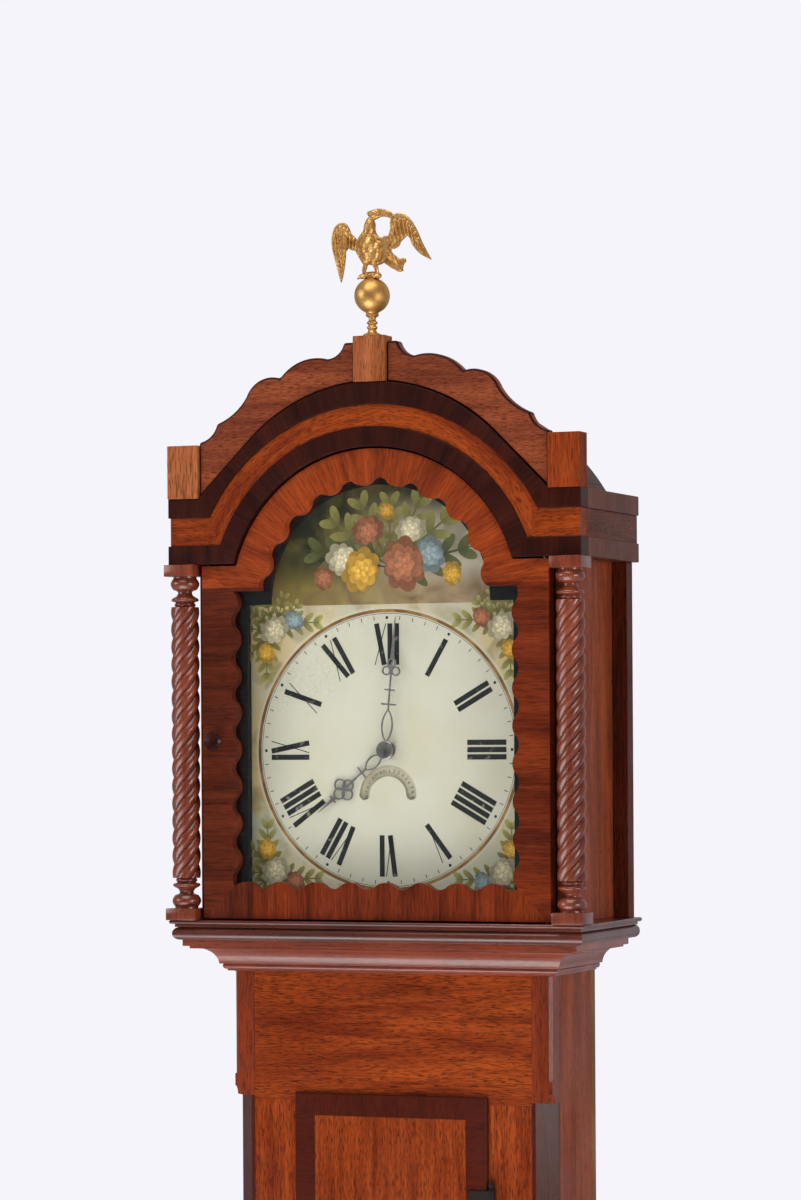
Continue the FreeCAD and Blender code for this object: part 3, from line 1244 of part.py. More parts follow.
def motion_work(spots):
    thick = d.wheel_thick
    minute = spots["minute"]
    gap = -d.plate - d.cannon_gap - thick
    hour_module = float(d.cannon_module) * CANNON_TEETH * 2 / (MINUTE_LEAVES + HOUR_TEETH)
    bore = d.minute_stud + d.pivot_fit
    wheel = geared(minute, CANNON_TEETH, d.cannon_module, gap, thick, True, None, bore)
    leaves = geared(minute, MINUTE_LEAVES, hour_module, gap - 10, thick + 8, False, 0.0, bore)
    keep(shaped("minute_wheel", wheel.fuse(leaves).removeSplitter()))

    hour = Arbor(minute.x, minute.z, 0.0).meshed(hour_module, MINUTE_LEAVES, HOUR_TEETH, 0)
    hour_front = FACE + d.dial_set - d.hour_gap - d.hand_thick
    start = gap - 8
    wheel = geared(hour, HOUR_TEETH, hour_module, start, thick, True)
    pipe = cylinder(hour, hour_front, d.hour_pipe, PLATE_IN + start + thick)
    hole = cylinder(hour, hour_front - 1, d.cannon + d.pivot_fit, PLATE_IN + start + thick + 1)
    keep(shaped("hour_wheel", wheel.fuse(pipe).cut(hole).removeSplitter()))

    lever = spots["lever"]
    hub = cylinder(lever, PLATE_FRONT - 8, 4.5, PLATE_FRONT - 5.5)
    tip = Arbor(minute.x - 15.5, minute.z + 14.5)
    arm = Part.Face(flat_wire([(lever.x - 2.5, lever.z - 2), (tip.x - 1, tip.z - 1), (tip.x + 1, tip.z + 1.4),
                               (lever.x + 2.5, lever.z + 3)])).extrude(V(0, 0, 2.5))
    arm.rotate(V(), V(1, 0, 0), 90)
    arm.translate(V(0, float(PLATE_FRONT) - 5.5, float(CENTRE)))
    hole = cylinder(lever, PLATE_FRONT - 9, d.stud + d.pivot_fit, PLATE_FRONT)
    keep(shaped("lifting_lever", hub.fuse(arm).cut(hole).removeSplitter()))


def plates(spots):
    """Front and back plates with a pivot hole for each arbor, and the studs of the wheels outside them."""
    low, high = CENTRE - d.plate_foot, CENTRE + d.plate_top
    rim = [(-d.plate_half, low), (d.plate_half, low), (d.plate_half, high), (-d.plate_half, high)]
    pivoted = ["going_great", "third", "escape", "strike_great", "pin", "hoop", "warning", "fly", "hammer"]

    def holes(names, radius):
        return [Ring(spots[name].x, CENTRE + spots[name].z, radius) for name in names]

    fit = d.pivot + d.pivot_fit
    front = prism("front_plate_sheet", "front", [rim] + holes(pivoted + ["anchor"], fit)
                  + holes(["centre"], d.cannon + d.pivot_fit), PLATE_FRONT, PLATE_IN)
    studs = []
    for name, radius, length in (("minute", d.minute_stud, d.cannon_gap + 16), ("lever", d.stud, 9)):
        spot = spots[name]
        studs.append(rod(f"{name}_stud", "y", (spot.x, PLATE_FRONT - length, CENTRE + spot.z), radius, length))
    front = join("front_plate", [front] + studs)
    pivoted.remove("strike_great")
    back = prism("back_plate_sheet", "front", [rim] + holes(pivoted + ["centre"], fit)
                 + holes(["anchor"], d.arbor * 2) + holes(["strike_great"], d.arbor + d.pivot_fit),
                 PLATE_BACK, PLATE_OUT)
    spot = spots["count"]
    back = join("back_plate", [back, rod("count_stud", "y", (spot.x, PLATE_OUT, CENTRE + spot.z), d.stud, 7)])
    keep(group("movement_plates", [front, back]))

    solids = []
    for i, (x, z) in enumerate(((-1, 0), (1, 0), (-1, 1), (1, 1))):
        side = x * (d.plate_half - d.pillar_inset)
        level = high - d.pillar_inset if z else low + d.pillar_inset - 2
        solids.append(rod(f"pillar_{i}", "y", (side, PLATE_IN, level), d.pillar_radius, d.pillar_length))
        foot_x = x * (d.plate_half - 2 * d.pillar_inset)
        foot_y = FACE + d.dial_set + d.dial_thick
        solids.append(rod(f"dial_foot_{i}", "y", (foot_x, foot_y, level), d.pillar_radius - 1, d.foot_length))
    keep(group("movement_pillars", solids))


# Escapement, pendulum and bell

def suspension(spots):
    return CENTRE + spots["anchor"].z, FACE + d.pendulum_set


def escapement(spots):
    """The anchor with its crutch, the pendulum that the crutch drives, and the cock behind the back plate."""
    level, rod_y = suspension(spots)
    spot = spots["anchor"]
    cock_y = PLATE_OUT + d.cock_gap
    arm = d.escape_radius
    spread, fall = float(arm) * 0.86, float(arm) * 0.7
    fork_level = level - d.crutch_length
    left = [(-spread - 3, -fall + 3.5), (-spread - 1, -fall), (-spread + 2.2, -fall + 1)]
    right = [(-x, z) for x, z in reversed(left)]
    bird = Part.Face(flat_wire([(0, 4.5)] + left + [(0, -3.4)] + right))
    bird = bird.extrude(V(0, 0, 4))
    bird.rotate(V(), V(1, 0, 0), 90)
    bird.translate(spot.at(PLATE_IN + d.escape_plane + 3))
    crutch_y = PLATE_OUT + 4
    gap = float(d.rod_radius) + 0.6
    length = float(rod_y - crutch_y) + 3
    prongs = [Part.makeBox(1.6, length, 6, V(x, float(crutch_y), float(fork_level))) for x in (-gap - 1.6, gap)]
    merged("anchor", [
        cylinder(spot, PLATE_IN + d.shake, d.arbor, cock_y - d.shake),
        cylinder(spot, PLATE_FRONT, d.pivot, cock_y + 3), bird,
        Part.makeBox(4, 3, float(d.crutch_length), V(-2, float(crutch_y), float(fork_level))),
        Part.makeBox(2 * gap + 3.2, 3, 6, V(-gap - 1.6, float(crutch_y), float(fork_level)))] + prongs)

    bar = board("cock_bar", (-24, 24), (cock_y, cock_y + 4), (level - 6, level + 6))
    feet = [board(f"cock_foot_{hand}", x, (PLATE_OUT, cock_y), (level - 6, level + 6))
            for hand, x in (("left", (-24, -16)), ("right", (16, 24)))]
    lug = board("cock_lug", (-6, 6), (cock_y + 4, rod_y - 4), (level - 5, level + 5))
    solid = join("cock_solid", [bar, lug] + feet)
    holes = [rod("anchor_pivot_hole", "y", (0, cock_y - 1, level), d.pivot + d.pivot_fit, 4.5),
             rod("pendulum_pin_hole", "y", (0, cock_y + 4.5, level), d.hang_pin + d.pivot_fit, 40)]
    cock = cut("back_cock", solid, holes)
    pin = rod("pendulum_pin", "y", (0, cock_y + 5, level), d.hang_pin, rod_y - cock_y - 3)
    bob_level = level - d.pendulum_length
    nut_top = bob_level - d.bob_radius
    end = nut_top - 26
    wire = rod("pendulum_wire", "z", (0, rod_y, end), d.rod_radius, level - end)
    nut = rod("rating_nut", "z", (0, rod_y, nut_top - 7), 7, 7)
    keep(join("pendulum_rod", [pin, wire, nut]))
    half, edge = d.bob_thick / 2, d.bob_edge / 2
    rise = half - edge
    bulge = (d.bob_radius * d.bob_radius + rise * rise) / (2 * rise)
    lens = turning("bob_lens", [(0, -half, bulge), (d.bob_radius, -edge), (d.bob_radius, edge, bulge), (0, half)],
                   (0, rod_y, bob_level), "front")
    hole = rod("bob_hole", "z", (0, rod_y, nut_top - 1), d.rod_radius + d.pivot_fit, 2 * d.bob_radius + 2)
    keep(cut("pendulum_bob", lens, [hole]))
    bell_and_stand(cock)


def bell_and_stand(cock):
    """The bell over the plates, on a stand that rises from the back plate and is nutted over its crown."""
    middle = (PLATE_IN + PLATE_BACK) / 2
    foot = CENTRE + d.bell_rise
    wall, radius, height, post = d.bell_wall, d.bell_radius, d.bell_height, d.bell_post
    crown = 8
    outer = arc_through((radius, 0), (crown, height), 8)
    inner = arc_through((radius - wall, 0), (crown, height - wall), 8 - wall / 5)
    keep(turning("bell", [
        (post, height - wall), (crown, height - wall, -inner), (radius - wall, 0), (radius, 0, outer),
        (crown, height), (post, height)], (0, middle, foot)))
    strap, wide = d.bell_strap, 6
    arm_top = foot - d.bell_gap
    strip = board("bell_strip", (-wide, wide), (PLATE_OUT, PLATE_OUT + strap), (CENTRE + d.plate_top - 14, arm_top))
    arm = board("bell_arm", (-wide, wide), (middle - wide, PLATE_OUT + strap), (arm_top - strap, arm_top))
    pillar = rod("bell_pillar", "z", (0, middle, arm_top), post, foot + height - arm_top)
    nut = rod("bell_nut", "z", (0, middle, foot + height), 2 * post, 2 * post)
    keep(group("movement_brackets", [cock, join("bell_stand", [strip, arm, pillar, nut])]))


# Weight, pulley and rope

def drive(spots):
    pulley_z = CENTRE + spots["going_great"].z
    y = rope_plane()
    inner = d.great_x - d.rope_turn
    outer = d.great_x + d.rope_turn
    turn = inner
    hang = pulley_z - d.weight_drop
    top = hang - 34
    foot = top - d.weight_height
    radius = d.weight_radius
    profile = [(0, 0), (radius - 4, 0), (radius, 4), (radius, d.weight_height - 8), (radius - 8, d.weight_height),
               (0, d.weight_height)]
    cast = turning("weight_casting", profile, (0, y, foot))
    strap = d.rope_radius + 2 * d.rope_gap + d.cheek + 1
    straps = [board(f"stirrup_{hand}", (-5, 5), (low, low + 1.6), (top - 1, hang + 6))
              for hand, low in (("front", y - strap - 1.6), ("back", y + strap))]
    axle = rod("stirrup_axle", "y", (0, y - strap - 1, hang), d.stud, 2 * strap + 2)
    keep(join("weight", [cast, axle] + straps))

    bottom = turn - d.rope_radius - d.rope_gap
    half = d.rope_radius + 2 * d.rope_gap
    rim = turn + 2
    bore = d.stud + d.pivot_fit
    keep(turning("weight_pulley", [
        (bore, -half - d.cheek), (rim, -half - d.cheek), (rim, -half - d.cheek / 3), (bottom, -half),
        (bottom, half), (rim, half + d.cheek / 3), (rim, half + d.cheek), (bore, half + d.cheek)], (0, y, hang), "front"))

    def tube(name, edges):
        path = Part.Wire(edges)
        first = edges[0].valueAt(edges[0].FirstParameter)
        along = edges[0].tangentAt(edges[0].FirstParameter)
        section = Part.Wire(Part.makeCircle(float(d.rope_radius), first, along))
        solid = path.makePipeShell([section], True, False)
        length = sum(edge.Length for edge in edges)
        share = solid.Volume / (length * math.pi * float(d.rope_radius) ** 2)
        print(f"{name}: length {length:.0f} mm, volume over section times length {share:.4f}")
        keep(shaped(name, solid))

    def spot(x, z):
        return V(float(x), float(y), float(z))

    def line(p, q):
        return Part.LineSegment(p, q).toShape()

    slant = turn * math.sqrt(0.5)
    under = [Part.Arc(spot(turn, hang), spot(slant, hang - slant), spot(0, hang - turn)).toShape(),
             Part.Arc(spot(0, hang - turn), spot(-slant, hang - slant), spot(-turn, hang)).toShape()]
    tube("drive_rope", [line(spot(turn, pulley_z), spot(turn, hang))] + under
         + [line(spot(-turn, hang), spot(-turn, pulley_z))])

    ring_z = float(pulley_z - d.ring_drop)
    bend, lean = float(d.ring_bend), math.radians(float(d.slack_lean))
    sweep = float(d.slack_bend)
    foot_x, foot_z = bend * math.cos(lean), ring_z - bend * math.sin(lean)
    knee_x = float(outer) - sweep * (1 - math.cos(lean))
    knee_z = foot_z + (knee_x - foot_x) / math.tan(lean)
    start_z = knee_z + sweep * math.sin(lean)
    half_x = float(outer) - sweep * (1 - math.cos(lean / 2))
    half_z = start_z - sweep * math.sin(lean / 2)

    def side(sign):
        """One side, from over its pulley down to the ring's bend."""
        start, knee = spot(sign * outer, start_z), spot(sign * knee_x, knee_z)
        slant = d.rope_turn * math.sqrt(0.5)
        crest = spot(sign * d.great_x, pulley_z + d.rope_turn)
        rising = spot(sign * (d.great_x - slant), pulley_z + slant)
        falling = spot(sign * (d.great_x + slant), pulley_z + slant)
        over = [Part.Arc(spot(sign * inner, pulley_z), rising, crest).toShape(),
                Part.Arc(crest, falling, spot(sign * outer, pulley_z)).toShape()]
        return over + [
            line(spot(sign * outer, pulley_z), start),
            Part.Arc(start, spot(sign * half_x, half_z), knee).toShape(),
            line(knee, spot(sign * foot_x, foot_z))]

    bottom_arc = Part.Arc(spot(foot_x, foot_z), spot(0, ring_z - bend), spot(-foot_x, foot_z)).toShape()
    back_edges = []
    for edge in reversed(side(-1)):
        turned = edge.copy()
        turned.reverse()
        back_edges.append(turned)
    tube("slack_rope", side(1) + [bottom_arc] + back_edges)

    ring = doc.addObject("Part::Torus", "rope_ring")
    ring.Placement = FreeCAD.Placement(V(), TURNS["x"])
    bind(ring, "Radius1", d.ring_hole + d.ring_tube)
    bind(ring, "Radius2", d.ring_tube)
    place(ring, 0, y, pulley_z - d.ring_drop - d.ring_bend + d.rope_radius + 2 * d.rope_gap - d.ring_hole)
    keep(ring)


def main():
    case()
    trunk_door()
    hood()
    hood_door()
    dial()
    hands()
    spots = train_layout()
    plates(spots)
    going_train(spots)
    motion_work(spots)
    strike_train(spots)
    escapement(spots)
    drive(spots)
    finish()


def finish():
    doc.recompute()
    for thing in doc.Objects:
        if "Invalid" in thing.State or "Error" in thing.State:
            raise RuntimeError(f"{thing.Label}: {thing.State}")
    os.makedirs("parts", exist_ok=True)
    for piece in pieces:
        if piece.Shape.isNull() or not piece.Shape.isValid():
            raise RuntimeError(f"{piece.Label} has no valid shape")
        piece.Shape.exportStep(f"parts/{piece.Label}.step")


main()
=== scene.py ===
"""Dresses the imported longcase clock: woods, dial paint, gilt, brass, glass and rope, seen as in the photograph."""

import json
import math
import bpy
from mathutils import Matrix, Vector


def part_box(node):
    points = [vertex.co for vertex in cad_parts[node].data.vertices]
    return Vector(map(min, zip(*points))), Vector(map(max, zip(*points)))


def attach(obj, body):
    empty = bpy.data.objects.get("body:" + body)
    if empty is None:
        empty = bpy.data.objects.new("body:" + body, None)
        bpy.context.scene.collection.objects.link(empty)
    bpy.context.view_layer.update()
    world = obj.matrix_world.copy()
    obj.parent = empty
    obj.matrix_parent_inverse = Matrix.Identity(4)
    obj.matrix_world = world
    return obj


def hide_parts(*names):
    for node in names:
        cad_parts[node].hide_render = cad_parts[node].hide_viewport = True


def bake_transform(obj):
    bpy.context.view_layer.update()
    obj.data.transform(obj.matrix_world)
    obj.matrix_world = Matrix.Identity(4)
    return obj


bl_info = {
    "name": "Longcase Clock Looks",
    "version": (1, 0, 0),
    "blender": (4, 5, 0),
    "location": "View3D > Sidebar > Clock",
    "description": "Builds the woods, dial, metals and ropes of a twist-column longcase clock on its CAD frame",
    "category": "Object",
}

import bmesh
import bpy
from mathutils import Matrix, Vector

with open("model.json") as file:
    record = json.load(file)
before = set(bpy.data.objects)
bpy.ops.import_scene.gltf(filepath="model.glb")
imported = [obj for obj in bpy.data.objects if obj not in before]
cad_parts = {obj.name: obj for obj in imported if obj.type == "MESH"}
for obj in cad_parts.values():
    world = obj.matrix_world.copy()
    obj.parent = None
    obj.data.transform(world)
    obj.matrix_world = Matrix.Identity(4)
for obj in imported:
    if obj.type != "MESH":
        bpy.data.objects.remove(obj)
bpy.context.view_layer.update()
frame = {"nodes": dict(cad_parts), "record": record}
NODES = frame["nodes"]
MM = 0.001
SLOTS = {part["node"]: part["material_slot"] for part in frame["record"]["subparts"]}


def middle(node):
    low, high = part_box(node)
    return (low + high) / 2


# Middle of the dial's front, height of the middle of every arch, and the plane behind the hood's front
DIAL = Vector((0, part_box("dial_plate")[0].y, middle("centre_wheel").z))
ARCH_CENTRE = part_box("dial_plate")[1].z - 140 * MM
FASCIA_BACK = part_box("dial_mask")[0].y


# Sizes and colours that a user would change

def colour(name, description, value):
    return bpy.props.FloatVectorProperty(
        name=name, description=description, default=(*value, 1.0), size=4, subtype="COLOR", min=0, max=1)


def length(name, description, value):
    return bpy.props.FloatProperty(
        name=name, description=description, default=value, min=0, subtype="DISTANCE", unit="LENGTH")


def angle(name, description, degrees):
    return bpy.props.FloatProperty(
        name=name, description=description, default=math.radians(degrees), subtype="ANGLE")


def power(name, description, watts):
    return bpy.props.FloatProperty(name=name, description=description, default=watts, unit="POWER")


# Each wood's place, and the colours of its light figure and its dark one
WOODS = {
    "oak": ("oak", (0.41, 0.070, 0.010), (0.165, 0.021, 0.004)),
    "dark": ("mouldings", (0.058, 0.009, 0.004), (0.016, 0.003, 0.002)),
    "veneer": ("doors' crossbanding", (0.26, 0.040, 0.009), (0.085, 0.012, 0.004)),
    "throat": ("throat moulding", (0.34, 0.060, 0.020), (0.17, 0.028, 0.010)),
    "column": ("twist columns", (0.30, 0.058, 0.021), (0.13, 0.023, 0.010)),
    "side": ("hood's and trunk's sides", (0.42, 0.092, 0.032), (0.19, 0.038, 0.014)),
    "block": ("faded crest blocks", (0.50, 0.155, 0.053), (0.30, 0.080, 0.024)),
    "pine": ("unseen pine", (0.34, 0.19, 0.085), (0.18, 0.085, 0.036)),
    "roof": ("dusty roof board", (0.17, 0.125, 0.110), (0.080, 0.056, 0.050)),
    # Painted light and shade: the sides of the architrave, frieze and cornice all wear these colours, darker than
    # the oak frieze's front (painted shade) and lighter than the dark mouldings' fronts (painted sheen)
    "return": ("entablature's sides", (0.19, 0.058, 0.028), (0.095, 0.028, 0.014)),
    "crest": ("cresting", (0.36, 0.085, 0.030), (0.15, 0.032, 0.014)),
    # Painted shade: darker colours of the crossbanding that the hood door's left stile gets; the rear posts wear
    # them too
    "shade": ("hood door's dull stile", (0.16, 0.028, 0.010), (0.055, 0.010, 0.004)),
    "arch": ("hood door's arch", (0.44, 0.072, 0.014), (0.17, 0.025, 0.006)),
}


class ClockWoods(bpy.types.PropertyGroup):
    """Colours of the case's woods and their pores, and the widths of their edges."""

    oak_pore: colour("Oak pore", "Open pores of the oak", (0.030, 0.006, 0.002))
    pore: colour("Mahogany pore", "Pores of the mahogany", (0.012, 0.003, 0.002))
    edge: length("Eased edge", "Width by which a board's sharp edges are eased", 0.7 * MM)
    crest_rim: length("Cresting rim", "Width of the cresting's dark rounded edge", 2.4 * MM)
    trunk_band: length("Trunk band", "Width of the trunk door's dark crossbanding", 25 * MM)

    def pair(self, wood):
        return getattr(self, f"{wood}_light"), getattr(self, f"{wood}_dark")

    def oak(self):
        """The oak's colours, its pores, and how strong and how fine its flecks are."""
        return *self.pair("oak"), self.oak_pore, 0.75, 1.25

    def dark(self):
        """The same of the dark mouldings, as fine as usual."""
        return *self.pair("dark"), self.pore, 0.4


for wood, (place, light, dark) in WOODS.items():
    for tone, value in (("light", light), ("dark", dark)):
        ClockWoods.__annotations__[f"{wood}_{tone}"] = colour(
            f"{wood.title()} {tone}", f"{tone.title()} figure of the {place}", value)


class ClockDial(bpy.types.PropertyGroup):
    """Sizes and colours of the painted dial."""

    ground: colour("Ground", "Aged white ground of the dial", (0.57, 0.535, 0.435))
    stain: colour("Stain", "Yellowed patches of the ground", (0.50, 0.43, 0.28))
    ink: colour("Ink", "Black of the numerals", (0.012, 0.012, 0.013))
    ring: colour("Ring", "Brown-gilt ring round the hours", (0.22, 0.095, 0.022))
    ring_outer: length("Ring outer", "Outer radius of the brown-gilt ring", 156.6 * MM)
    ring_inner: length("Ring inner", "Inner radius of the brown-gilt ring", 153 * MM)
    numeral_outer: length("Numeral outer", "Radius of the numerals' outer ends", 140.5 * MM)
    numeral_inner: length("Numeral inner", "Radius of the numerals' inner ends", 94.5 * MM)
    dot_radius: length("Dot circle", "Radius of the circle that the minute marks stand on", 147 * MM)


# The photograph's height, its lens and its eye level in pixels, and the width of the sensor in millimetres
PICTURE_HEIGHT, FOCAL_PIXELS, EYE_LEVEL = 1200, 3911.1, 742.7
SENSOR = 36


class ClockStage(bpy.types.PropertyGroup):
    """The camera, the light and the plain surroundings."""

    camera: bpy.props.FloatVectorProperty(
        name="Camera", description="Place of the camera", default=(1.6326, -4.0633, 1.5856), size=3,
        subtype="XYZ", unit="LENGTH")
    turn: angle("Turn", "Camera's turn to the left", 21.92)
    roll: angle("Roll", "Camera's small lean", -0.34)
    focal: bpy.props.FloatProperty(
        name="Focal length", description="Lens, on a 36 mm sensor",
        default=FOCAL_PIXELS * SENSOR / PICTURE_HEIGHT, subtype="DISTANCE_CAMERA")
    rise: bpy.props.FloatProperty(
        name="Rise", description="Upward shift of the lens, as a share of the image's height",
        default=(EYE_LEVEL - PICTURE_HEIGHT / 2) / PICTURE_HEIGHT)
    backdrop: colour("Backdrop", "Pale surroundings", (0.915, 0.905, 0.96))
    floor: colour("Floor", "Pale floor", (0.78, 0.77, 0.80))
    key: power("Key light", "Power of the main light", 46)
    fill: power("Fill light", "Power of the fill light", 52)
    wash: power("Floor wash", "Power of the light over the floor", 45)
    bounce: power("Bounce", "Power of the light off the floor", 30)


# Meshes

def placed(name, data):
    """A new object in the scene."""
    made = bpy.data.objects.new(name, data)
    bpy.context.scene.collection.objects.link(made)
    return made


def link_piece(name, mesh, material, body, replaced=()):
    """Puts a finished mesh in the scene, riding on a body."""
    piece = placed(name, mesh)
    mesh.materials.clear()
    mesh.materials.append(material)
    if body:
        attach(piece, body)
    if replaced:
        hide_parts(*replaced)
    return piece


def plain_mesh(name, bm):
    mesh = bpy.data.meshes.new(name)
    bm.to_mesh(mesh)
    bm.free()
    return mesh


def made_mesh(name, bm, crease=35):
    """A mesh that is smooth except where its faces meet at a sharper angle than the crease."""
    mesh = plain_mesh(name, bm)
    mesh.shade_smooth()
    mesh.set_sharp_from_angle(angle=math.radians(crease))
    return mesh


def drawn_mesh(curve):
    """The mesh that a curve or a text gives; the curve itself isn't kept."""
    holder = placed(curve.name, curve)
    mesh = bpy.data.meshes.new_from_object(holder)
    bpy.data.objects.remove(holder)
    bpy.data.curves.remove(curve)
    return mesh


def take_in(bm, mesh, matrix):
    """Moves a mesh into a larger one."""
    mesh.transform(matrix)
    bm.from_mesh(mesh)
    bpy.data.meshes.remove(mesh)


def eased(node, material, width, body, rim=None):
    """A copy of a CAD node whose sharp edges are rounded over, in a rim's own finish if it has one."""
    bm = bmesh.new()
    bm.from_mesh(NODES[node].data)
    bmesh.ops.remove_doubles(bm, verts=bm.verts, dist=1e-6)
    touching = [edge for edge in bm.edges if len(edge.link_faces) > 2]
    bmesh.ops.split_edges(bm, edges=touching)
    bmesh.ops.dissolve_limit(bm, angle_limit=math.radians(0.5), verts=bm.verts, edges=bm.edges)
    mesh = plain_mesh(f"{node}_eased", bm)
    mesh.shade_smooth()
    piece = link_piece(f"{node}_eased", mesh, material, body, [node])
    rounding = piece.modifiers.new("Eased edges", "BEVEL")
    rounding.width = width
    rounding.segments = 2
    rounding.limit_method = "ANGLE"
    rounding.angle_limit = math.radians(28)
    if rim:
        mesh.materials.append(rim)
        rounding.material = 1
    flat = piece.modifiers.new("Flat faces", "WEIGHTED_NORMAL")
    flat.weight = 100
    flat.keep_sharp = True
    return piece


def dress(node, material):
    """Gives a CAD node that keeps its shape a finish."""
    NODES[node].data.materials.clear()
    NODES[node].data.materials.append(material)


def turned(bm, profile, centre, axis="Z", steps=40):
    """Spins a (radius, height) profile in millimetres about an axis through a centre."""
    start = len(bm.verts)
    way = {"Z": Vector((0, 0, 1)), "Y": Vector((0, -1, 0))}[axis]
    verts = [bm.verts.new(Vector(centre) + Vector((r * MM, 0, 0)) + way * (h * MM)) for r, h in profile]
    edges = [bm.edges.new(pair) for pair in zip(verts, verts[1:])]
    spin_axis = {"Z": (0, 0, 1), "Y": (0, 1, 0)}[axis]
    bmesh.ops.spin(bm, geom=verts + edges, cent=centre, axis=spin_axis, angle=2 * math.pi, steps=steps,
                   use_merge=True)
    bm.verts.ensure_lookup_table()
    bmesh.ops.remove_doubles(bm, verts=bm.verts[start:], dist=1e-7)


def bead(radius, low, high, swell, steps):
    """Profile points of a round bead that swells out between two heights."""
    points = []
    for i in range(steps + 1):
        share = i / steps
        points.append((radius + swell * math.sin(math.pi * share), low + (high - low) * share))
    return points


def turned_piece(name, bm, crease, material, body, replaced=()):
    """Closes turned shapes up and puts them in the scene."""
    bmesh.ops.remove_doubles(bm, verts=bm.verts, dist=1e-7)
    bmesh.ops.recalc_face_normals(bm, faces=bm.faces)
    link_piece(name, made_mesh(name, bm, crease), material, body, replaced)


# Shader nodes

def add(tree, kind, inputs=None, **settings):
    """A new node, with each input given a value or joined to a wire."""
    made = tree.nodes.new(kind)
    for name, value in settings.items():
        setattr(made, name, value)
    for key, value in (inputs or {}).items():
        if isinstance(value, Wire):
            tree.links.new(value.socket, made.inputs[key])
        else:
            made.inputs[key].default_value = value
    return made


def source(tree, kind, output, **settings):
    return Wire(add(tree, kind, **settings).outputs[output])


class Wire:
    """A node's output; sums and mixes with it add the nodes that work them out."""

    def __init__(self, socket):
        self.socket = socket
        self.tree = socket.id_data

    def into(self, kind, inputs, output=0, **settings):
        return Wire(add(self.tree, kind, inputs, **settings).outputs[output])

    def maths(self, operation, *values):
        return self.into("ShaderNodeMath", dict(enumerate((self, *values))), operation=operation)

    def __add__(self, other):
        return self.maths("ADD", other)

    def __sub__(self, other):
        return self.maths("SUBTRACT", other)

    def __rsub__(self, other):
        return self.into("ShaderNodeMath", {0: other, 1: self}, operation="SUBTRACT")

    def __mul__(self, other):
        return self.maths("MULTIPLY", other)

    def __gt__(self, other):
        return self.maths("GREATER_THAN", other)

    def __lt__(self, other):
        return self.maths("LESS_THAN", other)

    def __abs__(self):
        return self.maths("ABSOLUTE")

    def fade(self, low, high):
        """0 below the low value, 1 above the high one, and even between them."""
        return self.into("ShaderNodeMapRange", {"Value": self, "From Min": low, "From Max": high})

    def tint(self, under, over, blend="MIX"):
        """The colour over where this share is 1, the one under where it is 0."""
        return self.into("ShaderNodeMix", {0: self, 6: under, 7: over}, 2, data_type="RGBA", blend_type=blend)

    def choose(self, first, second):
        """The second vector where this share is 1, the first where it is 0."""
        return self.into("ShaderNodeMix", {0: self, 4: first, 5: second}, 1, data_type="VECTOR")

    def noise(self, scale, detail=3.0, distortion=0.0):
        inputs = {"Vector": self, "Scale": scale, "Detail": detail, "Distortion": distortion}
        return self.into("ShaderNodeTexNoise", inputs)

    def cells(self, scale, feature):
        return self.into("ShaderNodeTexVoronoi", {"Vector": self, "Scale": scale}, feature=feature)

    def stretched(self, along, across):
        return self.into("ShaderNodeVectorMath", {0: self, 1: (along, across, across)}, operation="MULTIPLY")

    def axes(self):
        return [Wire(socket) for socket in add(self.tree, "ShaderNodeSeparateXYZ", {0: self}).outputs]


def joined(x, y, z):
    return x.into("ShaderNodeCombineXYZ", {0: x, 1: y, 2: z})


def distance(x, z):
    return (x * x + z * z).maths("SQRT")


def named_wires(sockets):
    return {socket.name: Wire(socket) for socket in sockets}


def shader_group(name, inputs, outputs):
    """A node group with sockets named for their kinds: its tree and its given values."""
    group = bpy.data.node_groups.new(name, "ShaderNodeTree")
    for way, sockets in (("INPUT", inputs), ("OUTPUT", outputs)):
        for label, kind in sockets.items():
            group.interface.new_socket(label, in_out=way, socket_type=f"NodeSocket{kind}")
    return group, named_wires(group.nodes.new("NodeGroupInput").outputs)


def timber_figure():
    """Figure, streaks and pores of a board whose grain runs along X."""
    group, given = shader_group(
        "Timber figure",
        {"Vector": "Vector", "Light": "Color", "Dark": "Color", "Pore": "Color", "Fleck": "Float",
         "Fineness": "Float"},
        {"Color": "Color", "Pores": "Float"})
    grain = given["Vector"]
    sized = grain.into("ShaderNodeVectorMath", {0: grain, "Scale": given["Fineness"]}, operation="SCALE")
    broad = sized.stretched(5, 46).noise(1, 3, 0.5)
    streak = sized.stretched(16, 430).noise(1, 4, 0.2)
    pores = sized.stretched(85, 1000).noise(1, 2).fade(0.51, 0.62)
    clouds = grain.noise(6, 3).fade(0.42, 0.72)
    base = (broad * 0.6 + streak * 0.4).fade(0.36, 0.63).tint(given["Light"], given["Dark"])
    base = (clouds * 0.4).tint(base, given["Dark"])
    base = (pores * given["Fleck"]).tint(base, given["Pore"])
    add(group, "NodeGroupOutput", {"Color": base, "Pores": pores})
    return group


def patina():
    """Soft grime and fine scuffs that dull a polish here and there."""
    group, given = shader_group("Patina", {"Vector": "Vector"}, {"Grime": "Float", "Scuff": "Float"})
    grime = given["Vector"].noise(11, 5).fade(0.40, 0.72)
    scuff = given["Vector"].stretched(60, 420).noise(1, 4).fade(0.56, 0.74)
    add(group, "NodeGroupOutput", {"Grime": grime, "Scuff": scuff})
    return group


def worn_metal():
    """Bright and tarnished patches of a metal, with a height for its casting or brushing."""
    group, given = shader_group("Worn metal", {"Vector": "Vector", "Bright": "Color", "Dull": "Color"},
                                {"Color": "Color", "Tarnish": "Float", "Height": "Float"})
    spots = given["Vector"].noise(70, 5, 0.5)
    fine = given["Vector"].noise(900, 3)
    tarnish = (spots * 0.7 + fine * 0.3).fade(0.38, 0.66)
    mixed = tarnish.tint(given["Bright"], given["Dull"])
    add(group, "NodeGroupOutput", {"Color": mixed, "Tarnish": tarnish, "Height": fine})
    return group


GROUPS = {}


